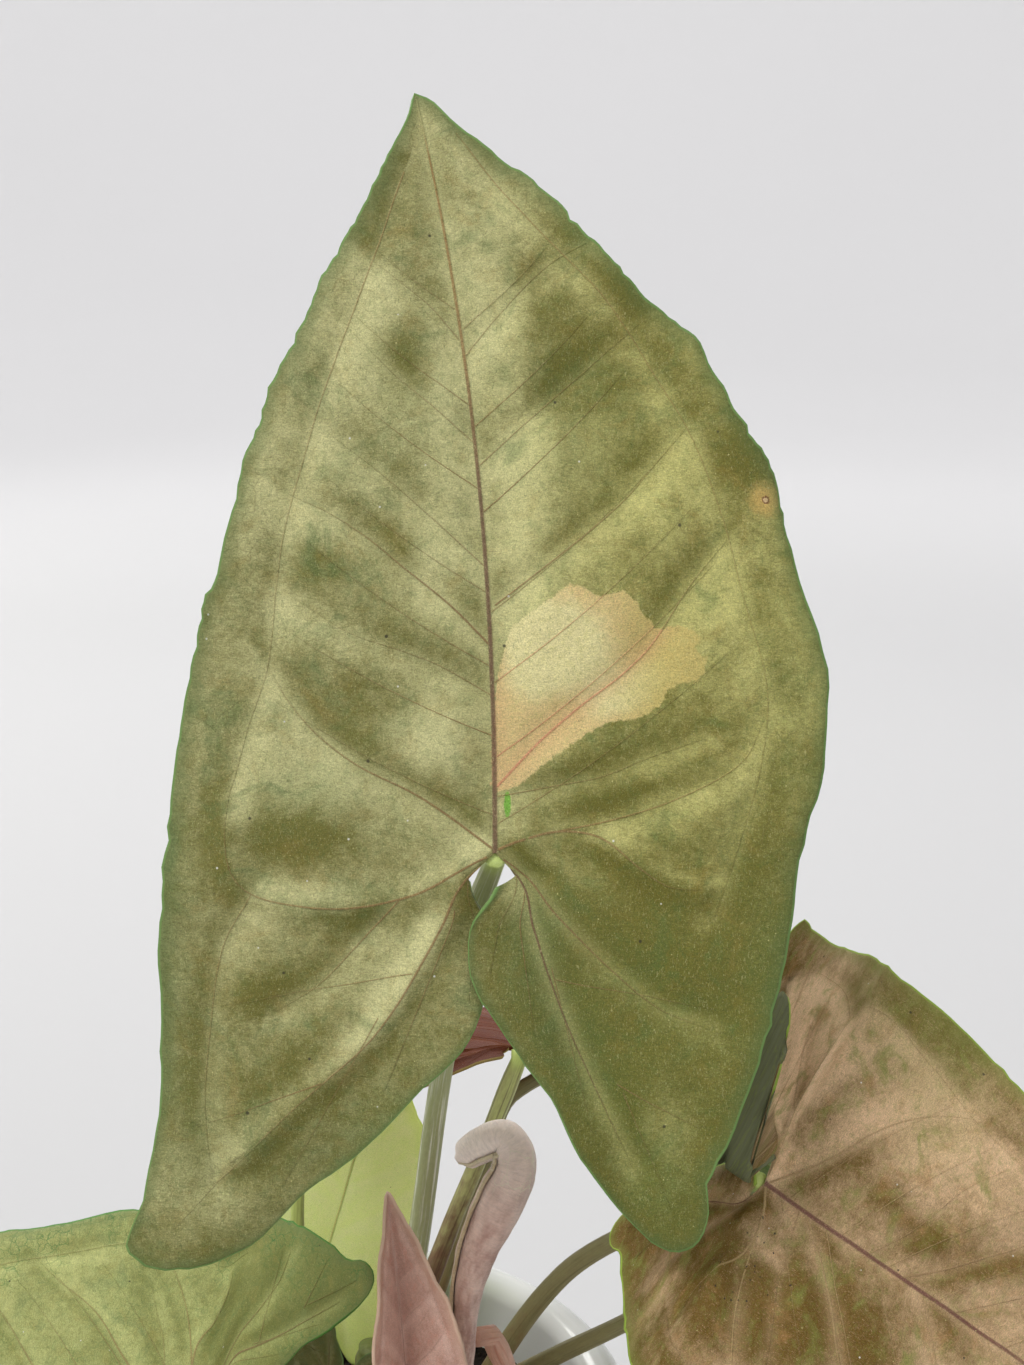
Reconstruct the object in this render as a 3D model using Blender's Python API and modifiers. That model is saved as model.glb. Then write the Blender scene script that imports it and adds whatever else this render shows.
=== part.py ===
"""Arrowhead plant in a white pot.

Lengths in the tables are millimetres and are turned into metres by MM. World: +Z up, origin at the
centre of the pot's foot. A blade's own frame has its origin where the petiole joins it, +Y along the
midrib to the tip, +X to the right seen from above its upper face, and +Z out of that face.
"""

import math
import random
from bisect import bisect_right
from typing import NamedTuple

import bmesh
import bpy
from mathutils import Matrix, Vector

MM = 0.001
GAP = 0.3

# Pot and soil
POT_HEIGHT = 102.0
POT_RIM_RADIUS = 56.5
POT_RIM_TUBE = 4.2
POT_NECK_RADIUS = 51.0
POT_FOOT_RADIUS = 39.0
POT_WALL = 5.0
POT_FLOOR = 7.0
POT_SEGMENTS = 40
SOIL_TOP = 88.0
SOIL_RINGS = 5
SOIL_SEGMENTS = 24
SOIL_RELIEF = 1.1

# Stems and petioles
STEM_RADIUS = 3.6
STEM_TOP = 104.0
STEM_FOOT = 66.0
STEM_STEPS = 12
STEM_RING = 0.35
STEM_TAPER = 0.35
PETIOLE_DEPTH = 14.0
PETIOLE_STEP = 9.0
PETIOLE_NECK = 3.0
BLADE_SEAT = GAP + 0.15
HOLE_CLEARANCE = GAP + 0.05
TUBE_RESOLUTION = 2

# Blades
THICKNESS = 0.8
STANDARD_LENGTH = 116.7
STANDARD_SWAY = 12.4
SWAY_POWER = 2.2
LAST_RAY = 18
CURL_LINE = 1.0
CURL_OVERHANG = 15.0
CURL_RAYS = (13.5, 15.5, 16.9, 17.6)
MARGIN_BOW = 0.15
FLAT_ROUND_PETIOLE = (2, 9)
RIB_ROUNDING = 3.0
WAVE_TURN = 2.1
NOTCH_REACH = 13.0
LOBE_LENGTH = 60.0
MIDRIB_STATIONS = (108, 98, 86, 73, 59, 44, 31, 20, 6, 0)
RIB_SHARES = (0.085, 0.3, 0.65, 1, 0.65, 0.3, 0.085, 0.085, 0.085)
BASAL_RIB = {
    -1: ((0, 0, 0), (1, -9.9, -14.5), (2, -24, -32), (3, -38, -45)),
    1: ((0, 0, 0), (1, 6.8, -13), (2, 13.2, -27), (3, 25, -46.5)),
}
# Margin of the standard leaf from its tip, round the lobe, to the notch: (ray, x, y)
MARGIN = {
    -1: (
        (0, -12.5, 116.7), (0.4, -13.4, 113), (1, -16.5, 106.5), (1.5, -18.8, 102), (2, -21, 97.7),
        (3, -25.2, 90.5), (4, -29.3, 80.5), (5, -34.4, 70), (6, -37.9, 60.5), (6.5, -39.8, 52.5),
        (7, -42, 43.5), (8, -45.3, 32.8), (9, -48.2, 17.5), (10, -50.1, 0), (11, -51, -19),
        (12, -51.8, -40), (12.5, -53.5, -52), (13, -56.8, -60.3), (13.5, -51, -63.5),
        (14, -43.5, -63), (14.5, -36.4, -59.5), (15, -28.5, -51.5), (15.5, -20.5, -45.6),
        (16, -10.8, -35.2), (16.5, -4.4, -29.5), (17, -1, -20), (17.5, -1, -11), (18, -2, -4.4),
    ),
    1: (
        (0, -12.5, 116.7), (0.3, -9.9, 115.4), (0.6, -6.5, 111.8), (1, -1.5, 108.2), (2, 8.2, 101.2),
        (2.5, 11.5, 96.8), (3, 15.5, 92.7), (4, 22.4, 85.1), (5, 30.5, 78.2), (5.5, 33.9, 72.3),
        (6, 36.6, 67), (7, 41.6, 59.2), (7.5, 43.5, 54.5), (8, 44.6, 48), (8.5, 47.7, 37),
        (9, 50.8, 25), (9.5, 49.9, 14), (10, 47.4, 3.5), (11, 44.3, -16.5), (12, 39.4, -33.5),
        (12.5, 34.7, -45.5), (12.8, 32.2, -50.5), (13, 32.8, -55), (13.5, 30, -60.9),
        (14, 23.9, -59.8), (15, 13, -45.5), (15.5, 9, -37.4), (16, 4.6, -31.9), (16.5, 0.2, -25.6),
        (17, -3.4, -19.8), (17.5, -4, -12.5), (18, -1.3, -5),
    ),
}


class Leaf(NamedTuple):
    """One leaf: its blade's size, place and form, and the route of its petiole in the world."""

    length: float
    at: tuple
    pointing: tuple
    facing: tuple
    colour: tuple
    stalk_colour: tuple
    route: tuple
    stalk: tuple = (2.4, 1.5)
    width: float = 1.0
    lobes: float = 1.0
    sway: float = 4.0
    fold: float = 12.0
    arch: float = 25.0
    droop: float = 15.0
    wave: float = 1.2
    curl: float = 0.0
    notch: float = 6.0
    taper: float = 0.0
    lap: float = 0.0
    mirrored: bool = False
    grid: tuple = (1, 4)


class Stalk(NamedTuple):
    """A petiole: its route from the soil, its last two points, its radii at foot and end, its colour."""

    route: tuple
    ends: tuple
    radii: tuple
    colour: tuple


OLIVE = (0.21, 0.22, 0.085)
BRONZE = (0.24, 0.17, 0.095)
NET_GREEN = (0.22, 0.29, 0.10)
LIME = (0.36, 0.60, 0.06)
PINK = (0.42, 0.22, 0.18)
ROSE = (0.37, 0.19, 0.15)
BROWN = (0.25, 0.11, 0.08)
GREEN = (0.16, 0.22, 0.07)
STALK_OLIVE = (0.17, 0.18, 0.08)
STALK_PEACH = (0.62, 0.31, 0.20)
STALK_LIME = (0.42, 0.47, 0.13)
STALK_BROWN = (0.22, 0.16, 0.10)

LEAVES = {
    "front": Leaf(
        118.6, (30.4, -37, 227), (0, 0.2588, 0.9659), (0, -0.9659, 0.2588), OLIVE, STALK_OLIVE,
        ((8, -3), (11, -5, 112), (16, -10, 142), (21, -19, 180), (26, -28, 210)),
        (2.5, 1.6), sway=STANDARD_SWAY, fold=6, arch=7, droop=6, notch=0, lap=2.8, grid=(2, 6),
    ),
    "right": Leaf(
        98, (74, -34, 169), (0.82, -0.30, -0.46), (0.2, -0.8, 0.55), BRONZE, STALK_OLIVE,
        ((22, 5), (32, 4, 112), (42, -1, 130), (51, -6, 140.5), (64, -13, 151), (74, -21, 160.5)),
        (2.3, 1.5), lobes=0.33, taper=0.14, fold=13, arch=22, droop=10, notch=0, lap=-3, curl=3.2, grid=(2, 5),
    ),
    "left": Leaf(
        80, (-19, -37, 129), (-1, 0.02, 0.06), (-0.05, -0.6, 0.8), NET_GREEN, STALK_LIME,
        ((-16, -10), (-17, -17, 104), (-18, -26, 118)),
        width=0.96, lobes=0.64, fold=10, arch=14, droop=10, notch=8, grid=(2, 4),
    ),
    "lime": Leaf(
        44, (-5, 28, 116), (0.3, 0.34, 0.89), (0.05, -0.93, 0.36), LIME, STALK_LIME,
        ((-8, 14), (-8, 22, 98), (-6, 31, 108)),
        (1.8, 1.1), lobes=0.85, fold=14,
    ),
    "behind": Leaf(
        54, (34, 6, 173.5), (-0.2, 0.96, -0.1), (0.0, 0.1, 0.99), BROWN, STALK_BROWN,
        ((10, 12), (14, 9, 112), (21, 6, 135), (27, 4, 152)),
        (2.5, 1.4), lobes=0.45, fold=10,
    ),
    "low_right": Leaf(
        66, (85, 8, 138), (0.86, 0.3, -0.42), (0.35, -0.1, 0.93), GREEN, STALK_OLIVE,
        ((24, 13), (31, 10, 99), (41, 6, 108), (56, 1, 120), (70, 3, 128)),
        (2.2, 1.4), fold=15, mirrored=True,
    ),
    "back_right": Leaf(
        64, (80, 48, 154), (0.2, 0.93, -0.3), (0.1, 0.3, 0.95), OLIVE, STALK_OLIVE,
        ((12, 20), (20, 17, 121), (28, 20, 143), (33, 24, 154), (52, 36, 156)),
        (2.1, 1.2), fold=14, mirrored=True,
    ),
    "back_left": Leaf(
        46, (-4, 26, 164), (-0.15, 0.94, -0.3), (0.0, 0.3, 0.95), BRONZE, STALK_LIME,
        ((-2, 10), (-5, 10, 104), (-7, 9, 116), (-8, 13, 140)),
        (2.0, 1.1), fold=16,
    ),
    "back": Leaf(
        50, (-22, 54, 120), (-0.25, 0.85, -0.46), (-0.2, 0.42, 0.88), GREEN, STALK_OLIVE,
        ((-8, 23), (-12, 32, 102), (-18, 44, 114)),
        (2.2, 1.3), lobes=0.7, fold=16,
    ),
    "low": Leaf(
        28, (2, -17, 119), (-0.3, -0.85, -0.42), (0.0, -0.4, 0.9), OLIVE, STALK_LIME,
        ((-4, -12), (-2, -13, 104), (1, -13, 112)),
        (1.5, 1.0), lobes=0.9, fold=8, arch=14, droop=6, wave=0.5,
    ),
    "folded": Leaf(
        49, (16.5, -36, 117), (-0.08, 0.22, 0.97), (0.25, -0.9, 0.3), PINK, STALK_PEACH,
        ((10, -16), (12, -21, 98), (16, -29, 109)),
        (2.0, 1.3), width=0.85, lobes=0.6, fold=60, arch=-14, droop=8,
    ),
}

# The rolled young leaf: its axis with the roll's radius there, from its foot to its bent-over end
ROLL_ROUTE = (
    (25, -33, 131, 1.9), (25, -33, 139, 2.3), (25.5, -32, 147, 2.9), (27.5, -31, 155, 3.7),
    (31, -30, 163, 4.4), (33.6, -28, 169, 4.0), (31.8, -26, 172.6, 3.5), (27.5, -25.5, 171, 3.2),
    (23.8, -26, 168.5, 2.6),
)
ROLL_TURNS = 1.14
ROLL_GAIN = 1.125
ROLL_START = 200.0
ROLL_GRID = (18, 16)
ROLL_STALK_RADII = (2.6, 1.7)
ROLL_STALK = ((24, -10), (31, -17, 108), (32, -21, 124), (29.5, -24.5, 134), (26.5, -29.5, 137))

STEMS = {"stem_a": (0.5, -3, -3, 2), "stem_b": (4, 18, 1, -3), "stem_c": (15.5, -4, 3, 1)}


def clear_scene():
    for obj in list(bpy.data.objects):
        bpy.data.objects.remove(obj, do_unlink=True)


def new_collection(name):
    collection = bpy.data.collections.new(name)
    bpy.context.scene.collection.children.link(collection)
    return collection


def material(name, colour, roughness):
    made = bpy.data.materials.new(name)
    made.use_nodes = True
    shader = made.node_tree.nodes["Principled BSDF"]
    shader.inputs["Base Color"].default_value = (*colour, 1)
    shader.inputs["Roughness"].default_value = roughness
    shader.inputs["Metallic"].default_value = 0
    return made


def smooth(low, high, value):
    """0 below low, 1 above high, with an even slope between."""
    share = min(max((value - low) / (high - low), 0), 1)
    return share * share * (3 - 2 * share)


def through(points, at):
    """The point at a knot on the smooth curve through points, each of which starts with its knot."""
    knots = [point[0] for point in points]
    last = len(points) - 1
    i = min(max(bisect_right(knots, at) - 1, 0), last - 1)

    def slope(j):
        a, b = points[max(j - 1, 0)], points[min(j + 1, last)]
        return [(q - p) / (b[0] - a[0]) for p, q in zip(a[1:], b[1:])]

    start, end = points[i], points[i + 1]
    span = end[0] - start[0]
    t = (at - start[0]) / span
    weights = (2 * t**3 - 3 * t**2 + 1, t**3 - 2 * t**2 + t, 3 * t**2 - 2 * t**3, t**3 - t**2)
    parts = zip(start[1:], slope(i), end[1:], slope(i + 1))
    return [
        weights[0] * p + weights[1] * span * m + weights[2] * q + weights[3] * span * n
        for p, m, q, n in parts
    ]


def sway_at(y, amount):
    """How far the midrib has leaned to the left at height y of the standard leaf."""
    return -amount * (max(y, 0) / STANDARD_LENGTH) ** SWAY_POWER


def between(values, at):
    i = min(int(at), len(values) - 2)
    return values[i] + (values[i + 1] - values[i]) * (at - i)


def spine_point(side, ray):
    """Where a ray starts: on the midrib down to the petiole, then out along the basal rib and back."""
    last_station = len(MIDRIB_STATIONS) - 1
    if ray <= last_station:
        y = between(MIDRIB_STATIONS, ray)
        return Vector((sway_at(y, STANDARD_SWAY), y))
    share = between(RIB_SHARES, max(ray - last_station - 1, 0))
    return Vector(through(BASAL_RIB[side], share * (len(BASAL_RIB[side]) - 1)))


def ray_point(side, ray, share):
    """A point of the flat standard leaf, share of the way from the spine to the margin."""
    start = spine_point(side, ray)
    reach = Vector(through(MARGIN[side], ray)) - start
    bow = MARGIN_BOW * smooth(0, 2, ray) * (1 - smooth(8, 10.5, ray)) * share * (1 - share)
    base_side = Vector((-reach.y, reach.x)) * -side
    return start + reach * share + base_side * bow


def curled(leaf, side, ray, share, across):
    """Rolls the overhanging inner edge of the left lobe up and back over itself."""
    if not leaf.curl or side > 0:
        return across, 0.0
    start, full, easing, end = CURL_RAYS
    across += CURL_OVERHANG * share * smooth(start, full, ray) * (1 - smooth(easing, end, ray))
    if across < CURL_LINE:
        return across, 0.0
    turn = (across - CURL_LINE) / leaf.curl
    return CURL_LINE + leaf.curl * math.sin(turn), leaf.curl * (1 - math.cos(turn))


def bent(y, z, length, degrees):
    """Bends the strip along y into an arc that falls by this many degrees over its length."""
    if abs(degrees) < 0.01:
        return y, z
    curve = math.radians(degrees) / length
    turn = curve * abs(y)
    reach = math.sin(turn) / curve + z * math.sin(turn)
    return math.copysign(reach, y), z * math.cos(turn) - (1 - math.cos(turn)) / curve


def blade_point(leaf, side, ray, share):
    """A point of the leaf's upper face in the blade's own frame, in metres."""
    flat = ray_point(side, ray, share)
    across = (flat.x - sway_at(flat.y, STANDARD_SWAY)) * leaf.width
    y = flat.y if flat.y > 0 else flat.y * leaf.lobes
    across *= 1 - leaf.taper * smooth(0, LOBE_LENGTH, -flat.y)
    size = leaf.length / STANDARD_LENGTH

    flat_round_petiole = smooth(*FLAT_ROUND_PETIOLE, math.hypot(across, y))
    fold = math.radians(leaf.fold) * flat_round_petiole
    z = math.sin(fold) * (math.hypot(across, RIB_ROUNDING) - RIB_ROUNDING)
    z -= leaf.droop * 0.01 * across * across / 30 * flat_round_petiole
    z += leaf.wave * share**3 * math.sin(WAVE_TURN * ray + side) * smooth(0, 2, ray)
    near_notch = smooth(2, 8, -flat.y) * math.exp(-((across / NOTCH_REACH) ** 2))
    z += max(side * leaf.lap, 0) * near_notch / size
    across = across * math.cos(fold) + side * leaf.notch * smooth(0, 12, -flat.y)
    across, height = curled(leaf, side, ray, share, across)
    z += height

    if y > 0:
        y, z = bent(y, z, STANDARD_LENGTH, leaf.arch)
    else:
        y, z = bent(y, z, LOBE_LENGTH, leaf.droop)
    x = across + sway_at(flat.y, leaf.sway)
    if leaf.mirrored:
        x = -x
    return Vector((x, y, z)) * size * MM


def placement(leaf):
    """The blade's frame in the world."""
    tip = Vector(leaf.pointing).normalized()
    right = tip.cross(Vector(leaf.facing)).normalized()
    turned = Matrix((right, tip, right.cross(tip))).transposed().to_4x4()
    return Matrix.Translation(Vector(leaf.at) * MM) @ turned


def grid_sheet(columns, rows, place, flipped):
    """A grid whose corners are moved by place(column share, row share), as a bmesh."""
    sheet = bmesh.new()
    bmesh.ops.create_grid(sheet, x_segments=columns, y_segments=rows, size=1)
    for vertex in sheet.verts:
        vertex.co = place((vertex.co.x + 1) / 2, (vertex.co.y + 1) / 2)
    if flipped:
        bmesh.ops.reverse_faces(sheet, faces=sheet.faces)
    return sheet


def solid_sheet(name, sheets, collection, finish):
    """Joins sheets along their shared edges, splits them into triangles and gives them thickness."""
    joined = bmesh.new()
    for sheet in sheets:
        part = bpy.data.meshes.new("sheet")
        sheet.to_mesh(part)
        sheet.free()
        joined.from_mesh(part)
        bpy.data.meshes.remove(part)
    bmesh.ops.remove_doubles(joined, verts=joined.verts, dist=1e-6)
    bmesh.ops.triangulate(joined, faces=joined.faces)
    mesh = bpy.data.meshes.new(name)
    joined.to_mesh(mesh)
    joined.free()
    mesh.shade_smooth()
    obj = bpy.data.objects.new(name, mesh)
    collection.objects.link(obj)
    solid = obj.modifiers.new("thickness", "SOLIDIFY")
    solid.thickness = THICKNESS * MM
    solid.offset = -1
    mesh.materials.append(finish)
    return obj


def build_blade(name, leaf, collection):
    per_ray, across = leaf.grid
    sheets = []
    for side in (-1, 1):
        facing_down = (side == -1) != leaf.mirrored
        sheets.append(
            grid_sheet(
                LAST_RAY * per_ray,
                across,
                lambda u, v, side=side: blade_point(leaf, side, round(u * LAST_RAY, 6), v),
                facing_down,
            )
        )
    finish = material(name + "_blade", leaf.colour, 0.5)
    obj = solid_sheet(name + "_blade", sheets, collection, finish)
    obj.matrix_world = placement(leaf)
    return obj


def knotted(points):
    """The points with the distance from the first one as their knots."""
    distance, made = 0.0, []
    for i, point in enumerate(points):
        if i:
            distance += (Vector(point[:3]) - Vector(points[i - 1][:3])).length
        made.append((distance, *point))
    return made


def petiole_points(route, end, radii):
    """Points with radii from under the soil, up a smooth curve, to the end under the blade."""
    foot_x, foot_y = route[0]
    course = [(foot_x, foot_y, SOIL_TOP - 2), (foot_x, foot_y, SOIL_TOP + 3), *route[1:]]
    course = knotted(course)
    length = course[-1][0]
    steps = max(int(length / PETIOLE_STEP), 4)
    points = [(foot_x, foot_y, SOIL_TOP - PETIOLE_DEPTH, radii[0])]
    for i in range(steps + 1):
        share = i / steps
        radius = radii[0] + (radii[1] - radii[0]) * share**0.7
        points.append((*through(course, share * length), radius))
    points.append((*end, radii[1]))
    return points


def tube(name, points, extra, collection, finish=None):
    """A round rod through points with radii, as a mesh with welded caps; extra widens it."""
    curve = bpy.data.curves.new(name, "CURVE")
    curve.dimensions = "3D"
    curve.bevel_depth = MM
    curve.bevel_resolution = TUBE_RESOLUTION
    curve.use_fill_caps = True
    spline = curve.splines.new("POLY")
    spline.points.add(len(points) - 1)
    for knot, (x, y, z, radius) in zip(spline.points, points):
        knot.co = (x * MM, y * MM, z * MM, 1)
        knot.radius = radius + extra
    guide = bpy.data.objects.new(name + "_guide", curve)
    collection.objects.link(guide)
    evaluated = guide.evaluated_get(bpy.context.evaluated_depsgraph_get())
    mesh = bpy.data.meshes.new_from_object(evaluated)
    bpy.data.objects.remove(guide)
    bpy.data.curves.remove(curve)
    welded = bmesh.new()
    welded.from_mesh(mesh)
    bmesh.ops.remove_doubles(welded, verts=welded.verts, dist=1e-6)
    bmesh.ops.recalc_face_normals(welded, faces=welded.faces)
    welded.to_mesh(mesh)
    welded.free()
    mesh.shade_smooth()
    mesh.name = name
    obj = bpy.data.objects.new(name, mesh)
    collection.objects.link(obj)
    if finish:
        mesh.materials.clear()
        mesh.materials.append(finish)
    else:
        obj.hide_render = True
        obj.display_type = "WIRE"
    return obj


def petiole_end(leaf):
    """A point behind the blade, and the middle of the petiole's upper end just under the blade."""
    frame = placement(leaf)
    back = -frame.col[2].to_3d()
    base = -frame.col[1].to_3d()
    end = Vector(leaf.at) + back * (THICKNESS + BLADE_SEAT) + base
    return end + back * PETIOLE_NECK + base * 0.4, end


def build_petiole(name, stalk, collection, cutters):
    lower, upper = stalk.ends
    points = petiole_points((*stalk.route, tuple(lower)), tuple(upper), stalk.radii)
    finish = material(name, stalk.colour, 0.5)
    tube(name, points, 0, collection, finish)
    foot = points[0]
    sunk = (foot[0], foot[1], foot[2] - GAP, foot[3])
    tube(name + "_hole", [sunk, *points], HOLE_CLEARANCE, cutters)


def build_stem(name, x, y, lean_x, lean_y, collection, cutters):
    """A short upright stem with the rings that old leaves leave."""
    finish = material(name, (0.20, 0.16, 0.08), 0.6)
    points = []
    for i in range(STEM_STEPS + 1):
        share = i / STEM_STEPS
        lean = max(share - 0.5, 0) * 2
        ring = STEM_RING if i % 3 == 2 else 0.0
        taper = 1 - STEM_TAPER * smooth(0.75, 1, share)
        z = STEM_FOOT + (STEM_TOP - STEM_FOOT) * share
        points.append((x + lean_x * lean, y + lean_y * lean, z, STEM_RADIUS * taper + ring))
    tube(name, points, 0, collection, finish)
    sunk = (x, y, STEM_FOOT - GAP, STEM_RADIUS)
    tube(name + "_hole", [sunk, *points], HOLE_CLEARANCE, cutters)


def roll_frames():
    """Places along the roll's axis, each with its radius and two directions across the axis."""
    course = knotted(ROLL_ROUTE)
    length = course[-1][0]
    count = ROLL_GRID[0]
    places = [through(course, length * i / count) for i in range(count + 1)]
    across = Vector((1, 0, 0))
    frames = []
    for i, place in enumerate(places):
        before, after = places[max(i - 1, 0)], places[min(i + 1, count)]
        tangent = (Vector(after[:3]) - Vector(before[:3])).normalized()
        across = (across - tangent * across.dot(tangent)).normalized()
        frames.append((Vector(place[:3]), place[3], across.copy(), tangent.cross(across)))
    return frames


def build_roll(collection):
    """The rolled blade: a sheet wound a little more than once round a bent axis."""
    frames = roll_frames()
    count = ROLL_GRID[0]

    def place(along, round_share):
        centre, radius, right, up = frames[round(along * count)]
        turn = math.radians(ROLL_START) + 2 * math.pi * ROLL_TURNS * round_share
        reach = radius - ROLL_GAIN * (1 - round_share)
        return (centre + (right * math.cos(turn) + up * math.sin(turn)) * reach) * MM

    sheet = grid_sheet(count, ROLL_GRID[1], place, False)
    return solid_sheet("rolled_blade", [sheet], collection, material("rolled_blade", ROSE, 0.6))


def build_pot(collection):
    rim_centre = (POT_RIM_RADIUS - POT_RIM_TUBE, POT_HEIGHT - POT_RIM_TUBE)
    inner_neck = rim_centre[0] - POT_RIM_TUBE
    inner_floor = POT_FOOT_RADIUS - POT_WALL + 1.5
    profile = [(0, POT_FLOOR), (inner_floor - 4, POT_FLOOR), (inner_floor, POT_FLOOR + 3)]
    arc_steps = 8
    for i in range(arc_steps + 1):
        turn = math.pi * (1 - i / arc_steps)
        x = rim_centre[0] + POT_RIM_TUBE * math.cos(turn)
        profile.append((x, rim_centre[1] + POT_RIM_TUBE * math.sin(turn)))
    profile += [
        (POT_RIM_RADIUS - 0.5, rim_centre[1] - 3.5),
        (POT_NECK_RADIUS + 1.2, rim_centre[1] - 6.5),
        (POT_NECK_RADIUS, rim_centre[1] - 10),
        (POT_FOOT_RADIUS + 1.6, 3),
        (POT_FOOT_RADIUS + 0.6, 0.8),
        (POT_FOOT_RADIUS - 0.6, 0),
        (0, 0),
    ]
    mesh = bpy.data.meshes.new("pot")
    outline = bmesh.new()
    corners = [outline.verts.new((x * MM, 0, z * MM)) for x, z in profile]
    for a, b in zip(corners, corners[1:]):
        outline.edges.new((a, b))
    outline.to_mesh(mesh)
    outline.free()
    pot = bpy.data.objects.new("pot", mesh)
    collection.objects.link(pot)
    turned = pot.modifiers.new("turned", "SCREW")
    turned.steps = turned.render_steps = POT_SEGMENTS
    turned.use_merge_vertices = True
    turned.merge_threshold = 0.00005
    turned.use_smooth_shade = True
    mesh.materials.append(material("pot", (0.85, 0.85, 0.84), 0.2))
    return inner_neck, inner_floor


def build_soil(collection, inner_neck, inner_floor):
    """The soil fills the pot to a rough, slightly hollow surface."""
    side_low = inner_floor - GAP - 0.3
    rise = (SOIL_TOP - POT_FLOOR - 3) / (POT_HEIGHT - POT_RIM_TUBE - POT_FLOOR - 3)
    side_high = inner_floor + (inner_neck - inner_floor) * rise - GAP - 0.3
    profile = [(SOIL_TOP, side_high * i / SOIL_RINGS) for i in range(SOIL_RINGS + 1)]
    profile += [(POT_FLOOR + 3, side_low), (POT_FLOOR + GAP, side_low - 4), (POT_FLOOR + GAP, 0)]
    mesh = bpy.data.meshes.new("soil")
    outline = bmesh.new()
    corners = [outline.verts.new((x * MM, 0, z * MM)) for z, x in profile]
    for a, b in zip(corners, corners[1:]):
        outline.edges.new((a, b))
    bmesh.ops.spin(
        outline, geom=outline.verts[:] + outline.edges[:], cent=(0, 0, 0), axis=(0, 0, 1),
        angle=2 * math.pi, steps=SOIL_SEGMENTS, use_merge=True, use_normal_flip=False,
    )
    bmesh.ops.remove_doubles(outline, verts=outline.verts, dist=1e-5)
    bmesh.ops.recalc_face_normals(outline, faces=outline.faces)
    draw = random.Random(7)
    for vertex in sorted(outline.verts, key=lambda v: (round(v.co.x, 6), round(v.co.y, 6))):
        radius = math.hypot(vertex.co.x, vertex.co.y) / MM
        if vertex.co.z > (SOIL_TOP - 1) * MM and radius < side_high - 1:
            vertex.co.z += draw.uniform(-SOIL_RELIEF, SOIL_RELIEF) * MM
    bmesh.ops.triangulate(outline, faces=outline.faces)
    outline.to_mesh(mesh)
    outline.free()
    mesh.shade_smooth()
    soil = bpy.data.objects.new("soil", mesh)
    collection.objects.link(soil)
    mesh.materials.append(material("soil", (0.03, 0.022, 0.017), 0.95))
    return soil


def drill(soil, cutters):
    holes = soil.modifiers.new("holes", "BOOLEAN")
    holes.operation = "DIFFERENCE"
    holes.operand_type = "COLLECTION"
    holes.collection = cutters
    holes.solver = "EXACT"


def main():
    clear_scene()
    plant = new_collection("arrowhead_plant")
    cutters = new_collection("cutters")
    inner_neck, inner_floor = build_pot(plant)
    soil = build_soil(plant, inner_neck, inner_floor)
    for name, (x, y, lean_x, lean_y) in STEMS.items():
        build_stem(name, x, y, lean_x, lean_y, plant, cutters)
    for name, leaf in LEAVES.items():
        build_blade(name, leaf, plant)
        stalk = Stalk(leaf.route, petiole_end(leaf), leaf.stalk, leaf.stalk_colour)
        build_petiole(name + "_petiole", stalk, plant, cutters)
    build_roll(plant)
    stalk = Stalk(ROLL_STALK[:-2], ROLL_STALK[-2:], ROLL_STALK_RADII, STALK_PEACH)
    build_petiole("rolled_petiole", stalk, plant, cutters)
    drill(soil, cutters)


main()
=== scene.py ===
"""Arrowhead plant in a white pot: its looks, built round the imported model.

Lengths in the tables are millimetres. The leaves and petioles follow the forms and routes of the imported
solids on finer grids, with a longer curl, a fuller edge and a wider notch where the photo shows them. Each
petiole runs into its blade. Every vein is laid on its blade as a thin ridge, through points of the flat
leaf, apart from the lime leaf, which has only its midrib.
"""

import math
import random
from bisect import bisect_right
from typing import NamedTuple

import bmesh
import bpy
import numpy as np
from mathutils import Matrix, Vector, noise
from mathutils.bvhtree import BVHTree


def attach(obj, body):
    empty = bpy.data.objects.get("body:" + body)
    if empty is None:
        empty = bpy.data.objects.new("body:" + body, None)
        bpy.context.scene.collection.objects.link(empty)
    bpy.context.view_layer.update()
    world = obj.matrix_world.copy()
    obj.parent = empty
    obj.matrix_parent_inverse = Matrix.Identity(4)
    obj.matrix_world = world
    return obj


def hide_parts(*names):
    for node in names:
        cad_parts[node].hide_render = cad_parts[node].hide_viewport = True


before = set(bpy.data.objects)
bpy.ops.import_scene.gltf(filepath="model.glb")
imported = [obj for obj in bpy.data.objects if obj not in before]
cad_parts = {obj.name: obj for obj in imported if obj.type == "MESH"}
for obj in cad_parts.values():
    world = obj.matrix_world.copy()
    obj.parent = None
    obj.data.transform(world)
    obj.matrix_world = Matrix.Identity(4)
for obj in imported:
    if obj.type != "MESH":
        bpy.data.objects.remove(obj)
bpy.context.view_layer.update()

MM = 0.001

# Camera: the photo's place and angle
CAMERA_PLACE = (0.033, -0.295, 0.323)
CAMERA_PITCH = 15.0
CAMERA_LENS = 47.47
SENSOR = 36.0

# Pot and soil
POT_HEIGHT = 102.0
POT_RIM_RADIUS = 56.5
POT_RIM_TUBE = 4.2
POT_FOOT_RADIUS = 39.0
POT_WALL = 5.0
POT_FLOOR = 7.0
INNER_FLOOR_RADIUS = POT_FOOT_RADIUS - POT_WALL + 1.5
POT_STEPS = 144
SOIL_TOP = 88.0
CRUMBS = 900

# Blades
THICKNESS = 0.5
STANDARD_LENGTH = 116.7
STANDARD_SWAY = 12.4
SWAY_POWER = 2.2
LAST_RAY = 18
CURL_LINE = 1.0
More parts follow.
